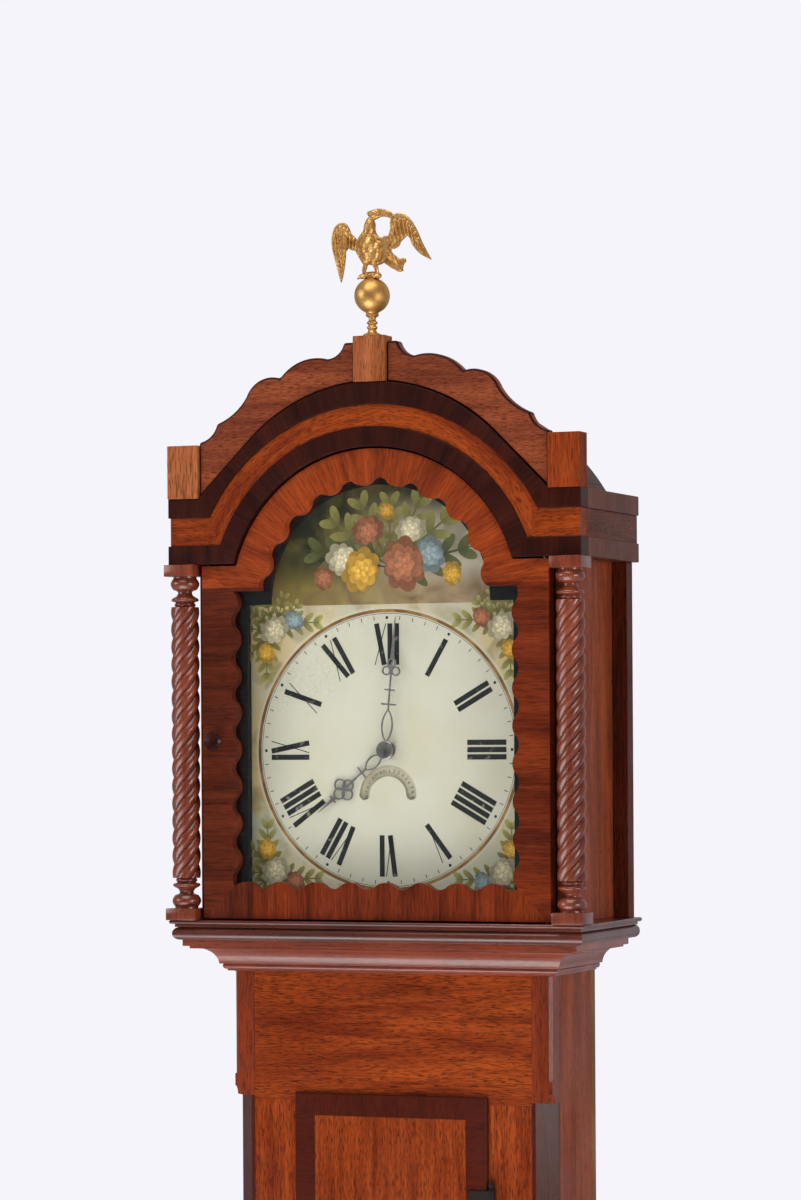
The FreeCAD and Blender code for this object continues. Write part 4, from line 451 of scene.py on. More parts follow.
class Finish:
    """A new material with its shader's plain values set, and the place of each spot on its surface."""

    def __init__(self, name, **values):
        self.material = bpy.data.materials.new(name)
        self.material.use_nodes = True
        self.tree = self.material.node_tree
        self.shader = self.tree.nodes["Principled BSDF"]
        for key, value in values.items():
            self.shader.inputs[key.replace("_", " ")].default_value = value
        self.spot = source(self.tree, "ShaderNodeTexCoord", "Object")

    def group(self, maker, **inputs):
        """A shared effect's results for this material's own values."""
        if maker not in GROUPS:
            GROUPS[maker] = maker()
        return named_wires(add(self.tree, "ShaderNodeGroup", inputs, node_tree=GROUPS[maker]).outputs)

    def join(self, key, wire):
        self.tree.links.new(wire.socket, self.shader.inputs[key])

    def colour(self, base):
        self.join("Base Color", base)

    def rough(self, low, high, *masks):
        """Roughness that rises from low to high under the masks."""
        total = masks[0]
        for mask in masks[1:]:
            total = total.maths("MAXIMUM", mask)
        self.join("Roughness", total.into("ShaderNodeMapRange", {"Value": total, "To Min": low, "To Max": high}))

    def bump(self, height, strength, depth):
        inputs = {"Height": height, "Strength": strength, "Distance": depth}
        self.join("Normal", height.into("ShaderNodeBump", inputs))

    def show_instead(self, share, kind, tone):
        """Shows another kind of shader, of one colour, in place of this material's own by a share."""
        other = Wire(add(self.tree, kind, {"Color": tone}).outputs[0])
        mixed = share.into("ShaderNodeMixShader", {0: share, 1: Wire(self.shader.outputs[0]), 2: other})
        self.tree.links.new(mixed.socket, self.tree.nodes["Material Output"].inputs["Surface"])


# Woods, with the roughness of each polish from clean to dull

SATIN, BRIGHT, BARE = (0.34, 0.54), (0.26, 0.42), (0.6, 0.8)
WOOD_SHEEN, WOOD_COAT = 0.10, 0.02
ARCH_BEND = 190 * MM


def straight_grain(axis):
    """Grain along one axis of the clock."""
    turn = {"x": (0, 0, 0), "y": (0, 0, -math.pi / 2), "z": (0, math.pi / 2, 0)}[axis]

    def vector(spot):
        return spot.into("ShaderNodeMapping", {"Vector": spot, "Rotation": turn})

    return vector


def polar(x, z):
    """Distance from the arch's centre, and the length round it."""
    up = z - ARCH_CENTRE
    return distance(x, up), x.maths("ARCTAN2", up) * ARCH_BEND


def arched_grain(spring, crosswise):
    """Grain along an arched band, or square to it, that goes on level past the arch's springing."""
    def vector(spot):
        x, y, z = spot.axes()
        out, around = polar(x, z)
        bent = joined(out, y, around) if crosswise else joined(around, y, out)
        level = joined(z, y, x) if crosswise else joined(x, y, z)
        side = joined(z, x, y) if crosswise else joined(y, x, z)
        front = (abs(x) > spring).choose(bent, level)
        return (y > FASCIA_BACK).choose(front, side)

    return vector


def hood_door_grain(spot):
    """Crossbanding square to the hood door's edges, with mitres at its corners."""
    low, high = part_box("hood_door_frame")
    stile_width, rail_width, shoulder_high = 38 * MM, 36 * MM, 14 * MM
    stile_lean, rail_lean, mitre = 0.45, 0.35, 0.75
    x, y, z = spot.axes()
    stile = abs(x) - (high.x - stile_width)
    rail = low.z + rail_width - z
    out, around = polar(x, z)
    upright = (rail > stile).choose(joined(z * stile_lean + x, y, z), joined(x * rail_lean + z, y, x))
    arch = z - (ARCH_CENTRE + shoulder_high) > stile * mitre
    return arch.choose(upright, joined(out, y, around))


def frame_grain(spot):
    """Grain across the trunk's rails and up its stiles."""
    low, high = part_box("trunk_door")
    lip = 8 * MM
    x, y, z = spot.axes()
    rails = (z > high.z - lip).maths("MAXIMUM", z < low.z + lip)
    return rails.choose(joined(z, y, x), joined(x, y, z))


def polish(wood, base, pores, gloss=SATIN):
    """Joins a wood's colour, the dulling of its polish and its open pores to its shader."""
    age = wood.group(patina, Vector=wood.spot)
    wood.colour(base)
    wood.rough(*gloss, age["Grime"], age["Scuff"])
    wood.bump(1 - pores, 0.25, 0.2 * MM)
    return wood.material


def timber(name, grain, light, dark, pore, fleck=0.6, fineness=1.0, gloss=SATIN, coat=WOOD_COAT, sheen=WOOD_SHEEN,
           patches=()):
    """A polished wood; a patch is a mask with the light and dark colours of the wood under it."""
    wood = Finish(name, Coat_Weight=coat, Coat_Roughness=0.2, Specular_IOR_Level=sheen)
    for mask, patch_light, patch_dark in patches:
        share = mask(wood.spot)
        light, dark = share.tint(light, patch_light), share.tint(dark, patch_dark)
    figure = wood.group(timber_figure, Vector=grain(wood.spot), Light=light, Dark=dark, Pore=pore, Fleck=fleck,
                        Fineness=fineness)
    return polish(wood, figure["Color"], figure["Pores"], gloss)


def beyond(axis, limit, way=1):
    """A mask of what lies past a limit along an axis, or along its opposite where way is -1."""
    def mask(spot):
        return spot.axes()["XYZ".index(axis)] * way > limit

    return mask


def between(low, high):
    """A mask of what lies between two levels."""
    def mask(spot):
        z = spot.axes()[2]
        return (z < high) * (z > low)

    return mask


def trunk_door_wood(woods):
    """Oak inside a band of dark crossbanding round the trunk door's edge."""
    low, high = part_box("trunk_door")
    centre, half = (low + high) / 2, (high - low) / 2
    wood = Finish("trunk_door_wood", Coat_Weight=WOOD_COAT, Coat_Roughness=0.2, Specular_IOR_Level=WOOD_SHEEN)
    x, y, z = wood.spot.axes()
    side = abs(x) - (half.x - woods.trunk_band)
    end = abs(z - centre.z) - (half.z - woods.trunk_band)
    band = side.maths("MAXIMUM", end) > 0
    crossed = (end > side).choose(joined(x, y, z), joined(z, y, x))
    light, dark, pore, fleck, fineness = woods.oak()
    panel = wood.group(timber_figure, Vector=joined(z, y, x), Light=light, Dark=dark, Pore=pore, Fleck=fleck,
                       Fineness=fineness)
    rim = wood.group(timber_figure, Vector=crossed, Light=woods.veneer_dark, Dark=woods.dark_light,
                     Pore=woods.pore, Fleck=0.4, Fineness=1.0)
    return polish(wood, band.tint(panel["Color"], rim["Color"]), panel["Pores"])


def mask_paint():
    """Black paint of the board round the dial, scuffed brown."""
    paint = Finish("mask_paint", Specular_IOR_Level=0.12)
    age = paint.group(patina, Vector=paint.spot)
    paint.colour((age["Scuff"] * 0.5).tint((0.006, 0.006, 0.007, 1), (0.030, 0.024, 0.020, 1)))
    paint.rough(0.55, 0.75, age["Grime"])
    return paint.material


# Metals, glass and rope

def metal(name, bright, dull, rough, bump, metallic=1.0, sheen=0.5):
    cast = Finish(name, Metallic=metallic, Specular_IOR_Level=sheen)
    worn = cast.group(worn_metal, Vector=cast.spot, Bright=(*bright, 1), Dull=(*dull, 1))
    cast.colour(worn["Color"])
    cast.rough(*rough, worn["Tarnish"])
    cast.bump(worn["Height"], bump, 0.3 * MM)
    return cast.material


def feathered_gilt():
    """Worn gilding over small cast feathers, dark in their hollows."""
    gilt = Finish("feathered_gilt", Metallic=0.85)
    worn = gilt.group(worn_metal, Vector=gilt.spot, Bright=(0.80, 0.47, 0.155, 1), Dull=(0.52, 0.25, 0.07, 1))
    scales = gilt.spot.cells(480, "SMOOTH_F1")
    hollow = scales.fade(0.35, 0.62)
    gilt.colour((hollow * 0.55).tint(worn["Color"], (0.20, 0.075, 0.020, 1)))
    gilt.rough(0.40, 0.60, hollow)
    gilt.bump(1 - scales, 0.35, 0.6 * MM)
    return gilt.material


def clear_glass():
    """Old crown glass: clear, with a faint wave, and it lets the light through to the dial."""
    glass = Finish("clear_glass", Base_Color=(0.96, 0.98, 0.97, 1), Transmission_Weight=1.0, IOR=1.45,
                   Roughness=0.0)
    glass.bump(glass.spot.noise(14, 1), 0.02, 1 * MM)
    shadow = source(glass.tree, "ShaderNodeLightPath", "Is Shadow Ray")
    glass.show_instead(shadow, "ShaderNodeBsdfTransparent", (0.95, 0.97, 0.96, 1))
    return glass.material


def hemp():
    """Hairy rope, grimy in places."""
    rope = Finish("hemp", Sheen_Weight=0.3, Specular_IOR_Level=0.2)
    fibres = rope.spot.noise(900, 4)
    grime = rope.spot.noise(20, 3).fade(0.4, 0.7)
    base = fibres.tint((0.46, 0.36, 0.20, 1), (0.22, 0.15, 0.075, 1))
    rope.colour((grime * 0.5).tint(base, (0.14, 0.10, 0.06, 1)))
    rope.rough(0.75, 0.95, grime)
    rope.bump(fibres, 0.5, 0.4 * MM)
    return rope.material


# Dial paint

PAINT_SHEEN = 0.3
SMUDGE, HAIRLINE, RUBBED_INK, RUBBED_GILT = ((0.44, 0.41, 0.33, 1), (0.20, 0.15, 0.09, 1), (0.30, 0.28, 0.23, 1),
                                             (0.38, 0.21, 0.065, 1))
SAND, SAGE, UMBER = (0.56, 0.40, 0.19, 1), (0.40, 0.39, 0.29, 1), (0.24, 0.17, 0.06, 1)
NIGHT, FOLIAGE, HAZE = (0.028, 0.030, 0.014, 1), (0.15, 0.115, 0.030, 1), (0.52, 0.45, 0.34, 1)
GRASS, STONE, EARTH = (0.24, 0.18, 0.035, 1), (0.36, 0.25, 0.15, 1), (0.17, 0.10, 0.046, 1)
DISC_WHITE, DISC_STAIN = (0.52, 0.47, 0.34, 1), (0.34, 0.27, 0.16, 1)


def dial_paint(dial):
    """Aged white ground, with soft tinted corners and a dark leafy ground in the arch."""
    paint = Finish("dial_paint", Specular_IOR_Level=PAINT_SHEEN)
    spot = paint.spot
    x, _, z = spot.axes()
    stains = spot.noise(16, 5).fade(0.46, 0.80)
    smudge = spot.noise(7, 4).fade(0.48, 0.75)
    hair = (1 - spot.cells(150, "DISTANCE_TO_EDGE").fade(0.0, 0.035)) * spot.noise(9, 2).fade(0.5, 0.7)
    base = (stains * 0.6).tint(dial.ground, dial.stain)
    base = (smudge * 0.5).tint(base, SMUDGE)
    base = (hair * 0.45).tint(base, HAIRLINE)

    clouds, patches = spot.noise(26, 4, 0.6), spot.noise(13, 3, 0.3)
    corner = distance(x, z - DIAL.z).fade(dial.ring_outer, dial.ring_outer + 4 * MM)
    soft = patches.fade(0.40, 0.60).tint(SAND, SAGE)
    soft = (clouds.fade(0.48, 0.62) * 0.75).tint(soft, UMBER)
    rim = abs(x).fade(110 * MM, 160 * MM)
    base = (corner * rim.fade(-0.9, 0.5)).tint(base, soft)

    level = z - ARCH_CENTRE
    leafy = clouds.fade(0.38, 0.66).tint(NIGHT, FOLIAGE)
    glow = x.fade(-50 * MM, 60 * MM) * patches.fade(0.30, 0.54) * (1 - level.fade(75 * MM, 125 * MM))
    leafy = glow.tint(leafy, HAZE)
    ground = x.fade(-90 * MM, 70 * MM).tint(GRASS, STONE)
    ground = clouds.fade(0.35, 0.65).tint(ground, EARTH)
    leafy = (1 - level.fade(18 * MM, 46 * MM)).tint(leafy, ground)
    paint.colour((level > 0).tint(base, leafy))
    paint.rough(0.38, 0.55, stains)
    paint.bump(hair, 0.15, 0.1 * MM)
    return paint.material


def brushed_paint():
    """Dial painting in the colours that each motif carries, with brush streaks."""
    paint = Finish("flower_paint", Specular_IOR_Level=PAINT_SHEEN)
    shade = source(paint.tree, "ShaderNodeAttribute", "Color", attribute_name="paint")
    strokes = paint.spot.noise(260, 4).fade(0.35, 0.75)
    paint.colour((strokes * 0.55).tint(shade, (0.55, 0.55, 0.55, 1), "MULTIPLY"))
    paint.rough(0.40, 0.55, strokes)
    return paint.material


def worn_paint(name, scale, fresh, rubbed, worn, rough, strength=1.0, **values):
    """A paint that is rubbed to another colour in spots, between two levels of wear."""
    paint = Finish(name, **values)
    share = paint.spot.noise(scale, 5).fade(*worn) * strength
    paint.colour(share.tint(fresh, rubbed))
    paint.rough(*rough, share)
    return paint.material


# Motifs on the dial: how far each kind stands in front of it, and the numerals' strokes

PAINT_STEP = 0.003 * MM
LEAF_DEPTH, INK_DEPTH, RING_DEPTH = 0.10 * MM, 0.12 * MM, 0.14 * MM
FLOWER_DEPTH, LAYER_DEPTH = 0.18 * MM, 0.09 * MM
STROKE, FINE_STROKE, STROKE_PITCH = 5.9 * MM, 1.0 * MM, 8.0 * MM
LEAF, DEEP_LEAF = (0.24, 0.21, 0.060), (0.10, 0.105, 0.034)
ROSE, YELLOW, CREAM, BLUE = (0.40, 0.14, 0.065), (0.66, 0.36, 0.045), (0.66, 0.56, 0.36), (0.27, 0.34, 0.34)


def face_matrix(x, z, depth, turn=0.0):
    """A flat motif's frame on the dial: its own X to the right, its Y up, facing forwards."""
    return Matrix.Translation((x, DIAL.y - depth, z)) @ Matrix.Rotation(turn, 4, "Y") @ Matrix.Rotation(
        math.pi / 2, 4, "X")


def stroke(bm, frame_matrix, start, end, width):
    """A flat straight stroke between two points of a motif's own frame."""
    start, end = Vector(start), Vector(end)
    way = end - start
    lay = Matrix.Translation(((start + end) / 2).to_3d()) @ Matrix.Rotation(
        math.atan2(way.y, way.x), 4, "Z") @ Matrix.Diagonal((way.length, width, 1, 1))
    bmesh.ops.create_grid(bm, x_segments=1, y_segments=1, size=0.5, matrix=frame_matrix @ lay)


def numeral(bm, text, inner, outer, frame_matrix):
    """One Roman numeral, its foot towards the dial's middle."""
    widths = {"I": STROKE_PITCH, "V": 14.5 * MM, "X": 15 * MM}
    left = -sum(widths[letter] for letter in text) / 2
    for letter in text:
        span = widths[letter]
        mid, right = left + span / 2, left + span
        if letter == "I":
            stroke(bm, frame_matrix, (mid, inner), (mid, outer), STROKE)
        else:
            foot = mid + 1.5 * MM if letter == "V" else right - STROKE / 2
            stroke(bm, frame_matrix, (left + STROKE / 2, outer), (foot, inner), STROKE)
            foot = mid if letter == "V" else left + 1 * MM
            stroke(bm, frame_matrix, (right - 1 * MM, outer), (foot, inner), FINE_STROKE)
        left += span


def flat_ring(bm, inner, outer, depth):
    """A flat painted ring round the dial's middle."""
    centre = Vector((0, DIAL.y - depth, DIAL.z))
    verts = [bm.verts.new(centre + Vector((0, 0, radius))) for radius in (inner, outer)]
    edge = bm.edges.new(verts)
    bmesh.ops.spin(bm, geom=verts + [edge], cent=centre, axis=(0, 1, 0), angle=2 * math.pi, steps=160,
                   use_merge=True)


def painted(name, bm, material, body="case"):
    """Puts flat painting in the scene, all of it facing forwards."""
    bmesh.ops.recalc_face_normals(bm, faces=bm.faces)
    backs = [face for face in bm.faces if face.normal.y > 0]
    bmesh.ops.reverse_faces(bm, faces=backs)
    link_piece(name, made_mesh(name, bm), material, body)


class Bouquet:
    """Flat painted leaves and petals, each a hair in front of the one before."""

    def __init__(self):
        self.bm = bmesh.new()
        self.paint = self.bm.loops.layers.float_color.new("paint")
        self.depth = LEAF_DEPTH

    def petal(self, x, z, turn, size, width, shade):
        """A petal or leaf that starts at a spot and points away at a turn, paler towards its tip."""
        self.depth += PAINT_STEP
        lay = Matrix.Translation((0, size / 2, 0)) @ Matrix.Diagonal((width / 2, size / 2, 1, 1))
        made = bmesh.ops.create_circle(self.bm, cap_ends=True, segments=14, radius=1,
                                       matrix=face_matrix(x, z, self.depth, turn) @ lay)
        for loop in made["verts"][0].link_faces[0].loops:
            reach = math.hypot(loop.vert.co.x - x, loop.vert.co.z - z) / size
            loop[self.paint] = (*[part * (0.45 + 0.75 * reach) for part in shade], 1)

    def flower(self, x, z, radius, shade, turn=0.0, layer=0):
        """A full-blown flower: rings of petals that get lighter and smaller inwards."""
        self.depth = FLOWER_DEPTH + LAYER_DEPTH * layer
        rings = ((9, 1.0, 0.50), (8, 0.80, 0.75), (6, 0.58, 1.0), (5, 0.38, 1.25), (3, 0.2, 1.5))
        for ring, (count, reach, lift) in enumerate(rings):
            tone = [part * lift for part in shade]
            for i in range(count):
                way = turn + ring * 0.4 + 2 * math.pi * i / count
                size = radius * reach * (1 + 0.14 * math.sin(5 * i + 3 * ring + 900 * x))
                self.petal(x, z, way, size, size * 0.72, tone)

    def spray(self, x, z, turn, size, shade):
        """A leafy stem with leaves in pairs."""
        self.depth = LEAF_DEPTH
        for i in range(4):
            along_stem = size * (0.2 + 0.25 * i)
            sx, sz = x + along_stem * math.sin(turn), z + along_stem * math.cos(turn)
            tone = [part * (0.8 + 0.2 * i) for part in shade]
            for side in (-1, 1):
                lean = turn + side * (0.95 - 0.12 * i)
                self.petal(sx, sz, lean, size * (0.42 - 0.05 * i), size * 0.13, tone)
        self.petal(x, z, turn, size * 1.15, size * 0.04, [part * 0.7 for part in shade])


# Eagle, drawn as outlines in millimetres across and up from the top of its ball

SHARP_TIP = math.radians(70)
LEFT_WING = ((-19, 44), (-25, 50.5), (-28, 57.5), (-33.5, 62.5), (-41.5, 60.5), (-47, 51.5), (-48, 39.5), (-44, 21),
             (-37, -4), (-33.5, 11), (-31.5, 26), (-30.5, 34), (-24, 31.5), (-16, 30))
RIGHT_WING = ((21.5, 51.5), (22, 62.5), (25, 67.5), (34, 69.5), (41.5, 66), (51, 54), (60, 35), (70.5, 16),
              (56, 24.5), (47.5, 34.5), (42, 44), (38, 41.5), (34, 38), (32, 34), (22, 31), (18, 38.5))
BREAST = ((-14.5, 45), (-7.5, 54), (-4, 62), (0.3, 64.5), (3, 61), (3.7, 51.5), (7.4, 45.5), (12.7, 43.5),
          (18.7, 45), (20.8, 36), (21.8, 27), (12.7, 16), (-4.5, 15), (-14.5, 23), (-18.5, 36))
HEAD = ((-5, 71), (1.3, 74), (8.7, 75.5), (18, 73.5), (25, 68), (23, 64.5), (18, 66), (11.4, 66.5), (4.7, 64),
        (-1.3, 63), (-2.4, 67))
TAIL = ((19.8, 30), (25, 25.5), (32.4, 19.8), (39.8, 18.8), (37, 12.2), (34, 5.4), (26, 8.2), (18, 13.2),
        (13.5, 17.6))


def plate(bm, place, outline, thick, rounding, depth=0.0):
    """A flat casting with rounded edges inside a smooth outline."""
    curve = bpy.data.curves.new("plate", "CURVE")
    curve.dimensions = "2D"
    curve.fill_mode = "BOTH"
    curve.extrude = (thick / 2 - rounding) * MM
    curve.bevel_depth = rounding * MM
    curve.bevel_resolution = 2
    curve.offset = -rounding * MM
    spline = curve.splines.new("BEZIER")
    spline.bezier_points.add(len(outline) - 1)
    spline.use_cyclic_u = True
    for i, (point, (across, up)) in enumerate(zip(spline.bezier_points, outline)):
        spot = Vector((across, up))
        before, after = Vector(outline[i - 1]) - spot, Vector(outline[(i + 1) % len(outline)]) - spot
        point.co = (across * MM, up * MM, 0)
        kind = "VECTOR" if before.angle(after) < SHARP_TIP else "AUTO"
        point.handle_left_type = point.handle_right_type = kind
    upright = Matrix.Translation(place + Vector((0, depth * MM, 0))) @ Matrix.Rotation(math.pi / 2, 4, "X")
    take_in(bm, drawn_mesh(curve), upright)


def lobe(bm, place, start, end, width, thick):
    """A rounded swelling from one point to another of the eagle's own (across, depth, up) frame, in millimetres."""
    start, end = Vector(start) * MM, Vector(end) * MM
    way = end - start
    turn = way.to_track_quat("Z", "Y").to_matrix().to_4x4()
    lay = Matrix.Translation(place + (start + end) / 2) @ turn @ Matrix.Diagonal(
        (width * MM, thick * MM, way.length * 1.1, 1))
    bmesh.ops.create_uvsphere(bm, u_segments=16, v_segments=10, radius=0.5, matrix=lay)


def along(points, share):
    """A point at a share of the way along a line of points."""
    spot = share * (len(points) - 1)
    i = min(int(spot), len(points) - 2)
    return Vector(points[i]).lerp(Vector(points[i + 1]), spot - i)


def plumage(bm, place, lead, trail, count, face):
    """Long flights under a row of coverts, in low relief on one face of a wing."""
    for i in range(count):
        share = 0.92 * i / (count - 1)
        top, tip = along(lead, share), along(trail, share)
        for reach, size, proud in ((0.92, 5.2, 1.5), (0.52, 4.8, 1.9), (0.26, 4.4, 2.2)):
            end = top.lerp(tip, reach)
            lobe(bm, place, (top.x, face * (proud - 0.4), top.y), (end.x, face * proud, end.y), size, 2.2)


def eagle_mesh(place):
    """A cast eagle with raised wings, its head turned to the left, that stands on its ball."""
    bm = bmesh.new()
    for outline, thick, depth in ((LEFT_WING, 4.4, 1), (RIGHT_WING, 4.4, 1), (BREAST, 9, 0), (HEAD, 6, -0.5),
                                  (TAIL, 4.6, 1)):
        plate(bm, place, outline, thick, 1.0, depth)
    for face in (-1, 1):
        plumage(bm, place, [(-21, 44), (-30, 55), (-38, 58), (-45, 48)],
                [(-22, 34), (-31, 30), (-34, 14), (-39, 6)], 7, face * 1.15)
        plumage(bm, place, [(24, 48), (29, 63), (40, 62), (50, 50), (57, 36)],
                [(24, 34), (33, 39), (42, 45), (53, 30), (64, 20)], 9, face * 1.15)
        for across in (22, 26, 30):
            lobe(bm, place, (across - 4, face * 2.2, 24), (across + 6, face * 2.6, 36 - across), 5.4, 2.6)
    body, neck, crown = ((-3, -1, 16), (0, -1, 47)), ((-4, -1, 40), (-1, -1, 66)), ((-3, -1, 69.5), (10, -1, 70))
    left_thigh, right_thigh = ((-9, -4, 36), (-4, -5, 14)), ((9, -4, 38), (3, -5, 14))
    for ends, width, thick in ((body, 30, 20), (neck, 14, 13), (crown, 11, 10), (left_thigh, 13, 13),
                               (right_thigh, 14, 13)):
        lobe(bm, place, *ends, width, thick)
    for hip, foot in ((-5, -9), (4, 8)):
        lobe(bm, place, (hip, -4, 17), (foot, -3, 5), 5.5, 5.5)
        lobe(bm, place, (foot - 5, -4, 1.5), (foot + 4, -4, 1.5), 6.5, 6)
        for toe in (-4.5, 0, 4.5):
            lobe(bm, place, (foot, -3, 3), (foot * 1.1 + toe, -8, -1.5), 3.4, 3.4)
    lobe(bm, place, (-11, -1, 2), (11, -1, 2), 9, 10)
    lump = placed("eagle_lobes", plain_mesh("eagle_lobes", bm))
    skin = lump.modifiers.new("Cast skin", "REMESH")
    skin.mode = "VOXEL"
    skin.voxel_size = 0.6 * MM
    smooth = lump.modifiers.new("Softened", "SMOOTH")
    smooth.factor = 0.5
    smooth.iterations = 3
    cast = bpy.data.meshes.new_from_object(lump.evaluated_get(bpy.context.evaluated_depsgraph_get()))
    bpy.data.objects.remove(lump)
    cast.name = "eagle"
    cast.shade_smooth()
    return cast


# Ropes

def spline_points(route):
    """Points read from the smooth line that a rope's route gives."""
    curve = bpy.data.curves.new("route", "CURVE")
    curve.dimensions = "3D"
    curve.resolution_u = 200
    spline = curve.splines.new("NURBS")
    spline.points.add(len(route) - 1)
    for point, spot in zip(spline.points, route):
        point.co = (*spot, 1)
    spline.order_u = 3
    spline.use_endpoint_u = True
    mesh = drawn_mesh(curve)
    points = [vert.co.copy() for vert in mesh.vertices]
    bpy.data.meshes.remove(mesh)
    return points


def even(points, step):
    """The same line with its points a step apart."""
    kept, gone = [points[0]], 0.0
    for start, end in zip(points, points[1:]):
        span = (end - start).length
        while span > 0 and gone + span >= step:
            start = start.lerp(end, (step - gone) / span)
            span = (end - start).length
            kept.append(start)
            gone = 0.0
        gone += span
    return kept + [points[-1]]


def rope_line(half, y):
    """Even points along a smooth line that mirrors its right half, which is given across and up."""
    route = [(x, y, z) for x, z in half + [(-x, z) for x, z in reversed(half)]]
    return even(spline_points(route), 3 * MM)


def laid_rope(name, points, diameter, material):
    """Three strands laid round a line that lies in one upright plane; gives the rope and its length."""
    strand = diameter / 2 / (1 + 2 / math.sqrt(3))
    offset = diameter / 2 - strand
    lay = 4.0 * diameter
    curve = bpy.data.curves.new(f"{name}_strands", "CURVE")
    curve.dimensions = "3D"
    curve.bevel_depth = strand
    curve.bevel_resolution = 1
    curve.use_fill_caps = True
    walked = [0.0]
    for start, end in zip(points, points[1:]):
        walked.append(walked[-1] + (end - start).length)
    for k in range(3):
        spline = curve.splines.new("POLY")
        spline.points.add(len(points) - 1)
        for i, point in enumerate(points):
            way = (points[min(i + 1, len(points) - 1)] - points[max(i - 1, 0)]).normalized()
            side = way.cross(Vector((0, 1, 0)))
            turn = 2 * math.pi * (walked[i] / lay + k / 3)
            spot = point + offset * (math.cos(turn) * side + math.sin(turn) * Vector((0, 1, 0)))
            spline.points[i].co = (*spot, 1)
    mesh = drawn_mesh(curve)
    mesh.shade_smooth()
    return link_piece(f"{name}_laid", mesh, material, None, [name]), walked[-1]


# Operators

class CLOCK_OT_stage(bpy.types.Operator):
    """Sets the camera, the pale floor and the soft light"""

    bl_idname = "clock.stage"
    bl_label = "Stage and camera"

    def execute(self, context):
        stage = context.scene.clock_stage
        self.camera(context.scene, stage)
        self.floor(stage)
        self.surroundings(context.scene, stage)
        self.lights(stage)
        return {"FINISHED"}

    def camera(self, scene, stage):
        camera = bpy.data.cameras.new("camera")
        camera.sensor_width = SENSOR
        camera.lens = stage.focal
        camera.shift_y = stage.rise
        camera.clip_end = 60
        view = placed("camera", camera)
        view.matrix_world = (Matrix.Translation(stage.camera) @ Matrix.Rotation(stage.turn, 4, "Z")
                             @ Matrix.Rotation(math.pi / 2, 4, "X") @ Matrix.Rotation(stage.roll, 4, "Z"))
        scene.camera = view
        scene.view_settings.view_transform = "Standard"

    def floor(self, stage):
        """A wide disc, a hair below the clock, that fades into the surroundings."""
        radius, below, near, far = 6, 0.4 * MM, 0.9, 2.6
        bm = bmesh.new()
        bmesh.ops.create_circle(bm, cap_ends=True, segments=96, radius=radius,
                                matrix=Matrix.Translation((0, 0, -below)))
        floor = placed("floor", plain_mesh("floor", bm))
        paint = Finish("floor_paint", Specular_IOR_Level=0.2)
        speckle = paint.spot.noise(3, 4)
        paint.colour((speckle * 0.15).tint(stage.floor, stage.backdrop))
        paint.rough(0.6, 0.8, speckle)
        away = paint.spot.into("ShaderNodeVectorMath", {0: paint.spot}, "Value", operation="LENGTH")
        seen = source(paint.tree, "ShaderNodeLightPath", "Is Camera Ray")
        paint.show_instead(seen * away.fade(near, far), "ShaderNodeEmission", stage.backdrop)
        floor.data.materials.append(paint.material)

    def surroundings(self, scene, stage):
        """A plain backdrop for the camera, and a soft glow, brighter behind, for everything else."""
        world = bpy.data.worlds.new("studio")
        scene.world = world
        world.use_nodes = True
        tree = world.node_tree
        behind = source(tree, "ShaderNodeTexCoord", "Generated").axes()[1].fade(-0.35, 0.75)
        glow = behind.tint((0.10, 0.10, 0.11, 1), (0.42, 0.41, 0.44, 1))
        seen = source(tree, "ShaderNodeLightPath", "Is Camera Ray")
        tree.links.new(seen.tint(glow, stage.backdrop).socket, tree.nodes["Background"].inputs["Color"])

    def lights(self, stage):
        lights = (("key", 1.8, (-3.2, -2.3, 2.5), (0, 0, 1.5)),
                  ("fill", 1.6, (3.3, -1.6, 1.6), (0, 0, 1.5)),
                  ("wash", 2.0, (0, -1.2, 3.9), (0, -0.7, 0)),
                  ("bounce", 1.6, (-0.3, -1.4, 0.15), (-0.3, -1.4, 2)))
        for name, size, place, target in lights:
            light = bpy.data.lights.new(name, "AREA")
            light.energy = getattr(stage, name)
            light.size = size
            lamp = placed(name, light)
            lamp.visible_camera = False
            aim = Vector(target) - Vector(place)
            lamp.matrix_world = Matrix.Translation(place) @ aim.to_track_quat("-Z", "Y").to_matrix().to_4x4()


class CLOCK_OT_ropes(bpy.types.Operator):
    """Lays the drive rope and the slack rope in three strands"""

    bl_idname = "clock.ropes"
    bl_label = "Ropes"

    def execute(self, context):
        material = hemp()
        y = middle("drive_rope").y
        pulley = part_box("drive_rope")[1].z
        diameter = 6 * MM
        turn = 17.5 * MM
        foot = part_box("drive_rope")[0].z + diameter / 2
        points = rope_line([(turn, pulley), (turn, foot + 2 * turn), (turn, foot)], y)
        rope, size = laid_rope("drive_rope", points, diameter, material)
        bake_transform(rope)

        great = 22 * MM
        crest = pulley + great
        outer = turn + 2 * great
        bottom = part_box("slack_rope")[0].z + diameter / 2
        over_pulley = [(turn, pulley), (turn, crest), (outer, crest), (outer, crest - 2 * great)]
        round_ring = [(outer, bottom + 219 * MM), (outer, bottom + 112.8 * MM), (16.45 * MM, bottom + 16.2 * MM),
                      (8.93 * MM, bottom)]
        points = rope_line(over_pulley + round_ring, y)
        rope, size = laid_rope("slack_rope", points, diameter, material)
        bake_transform(rope)
        return {"FINISHED"}


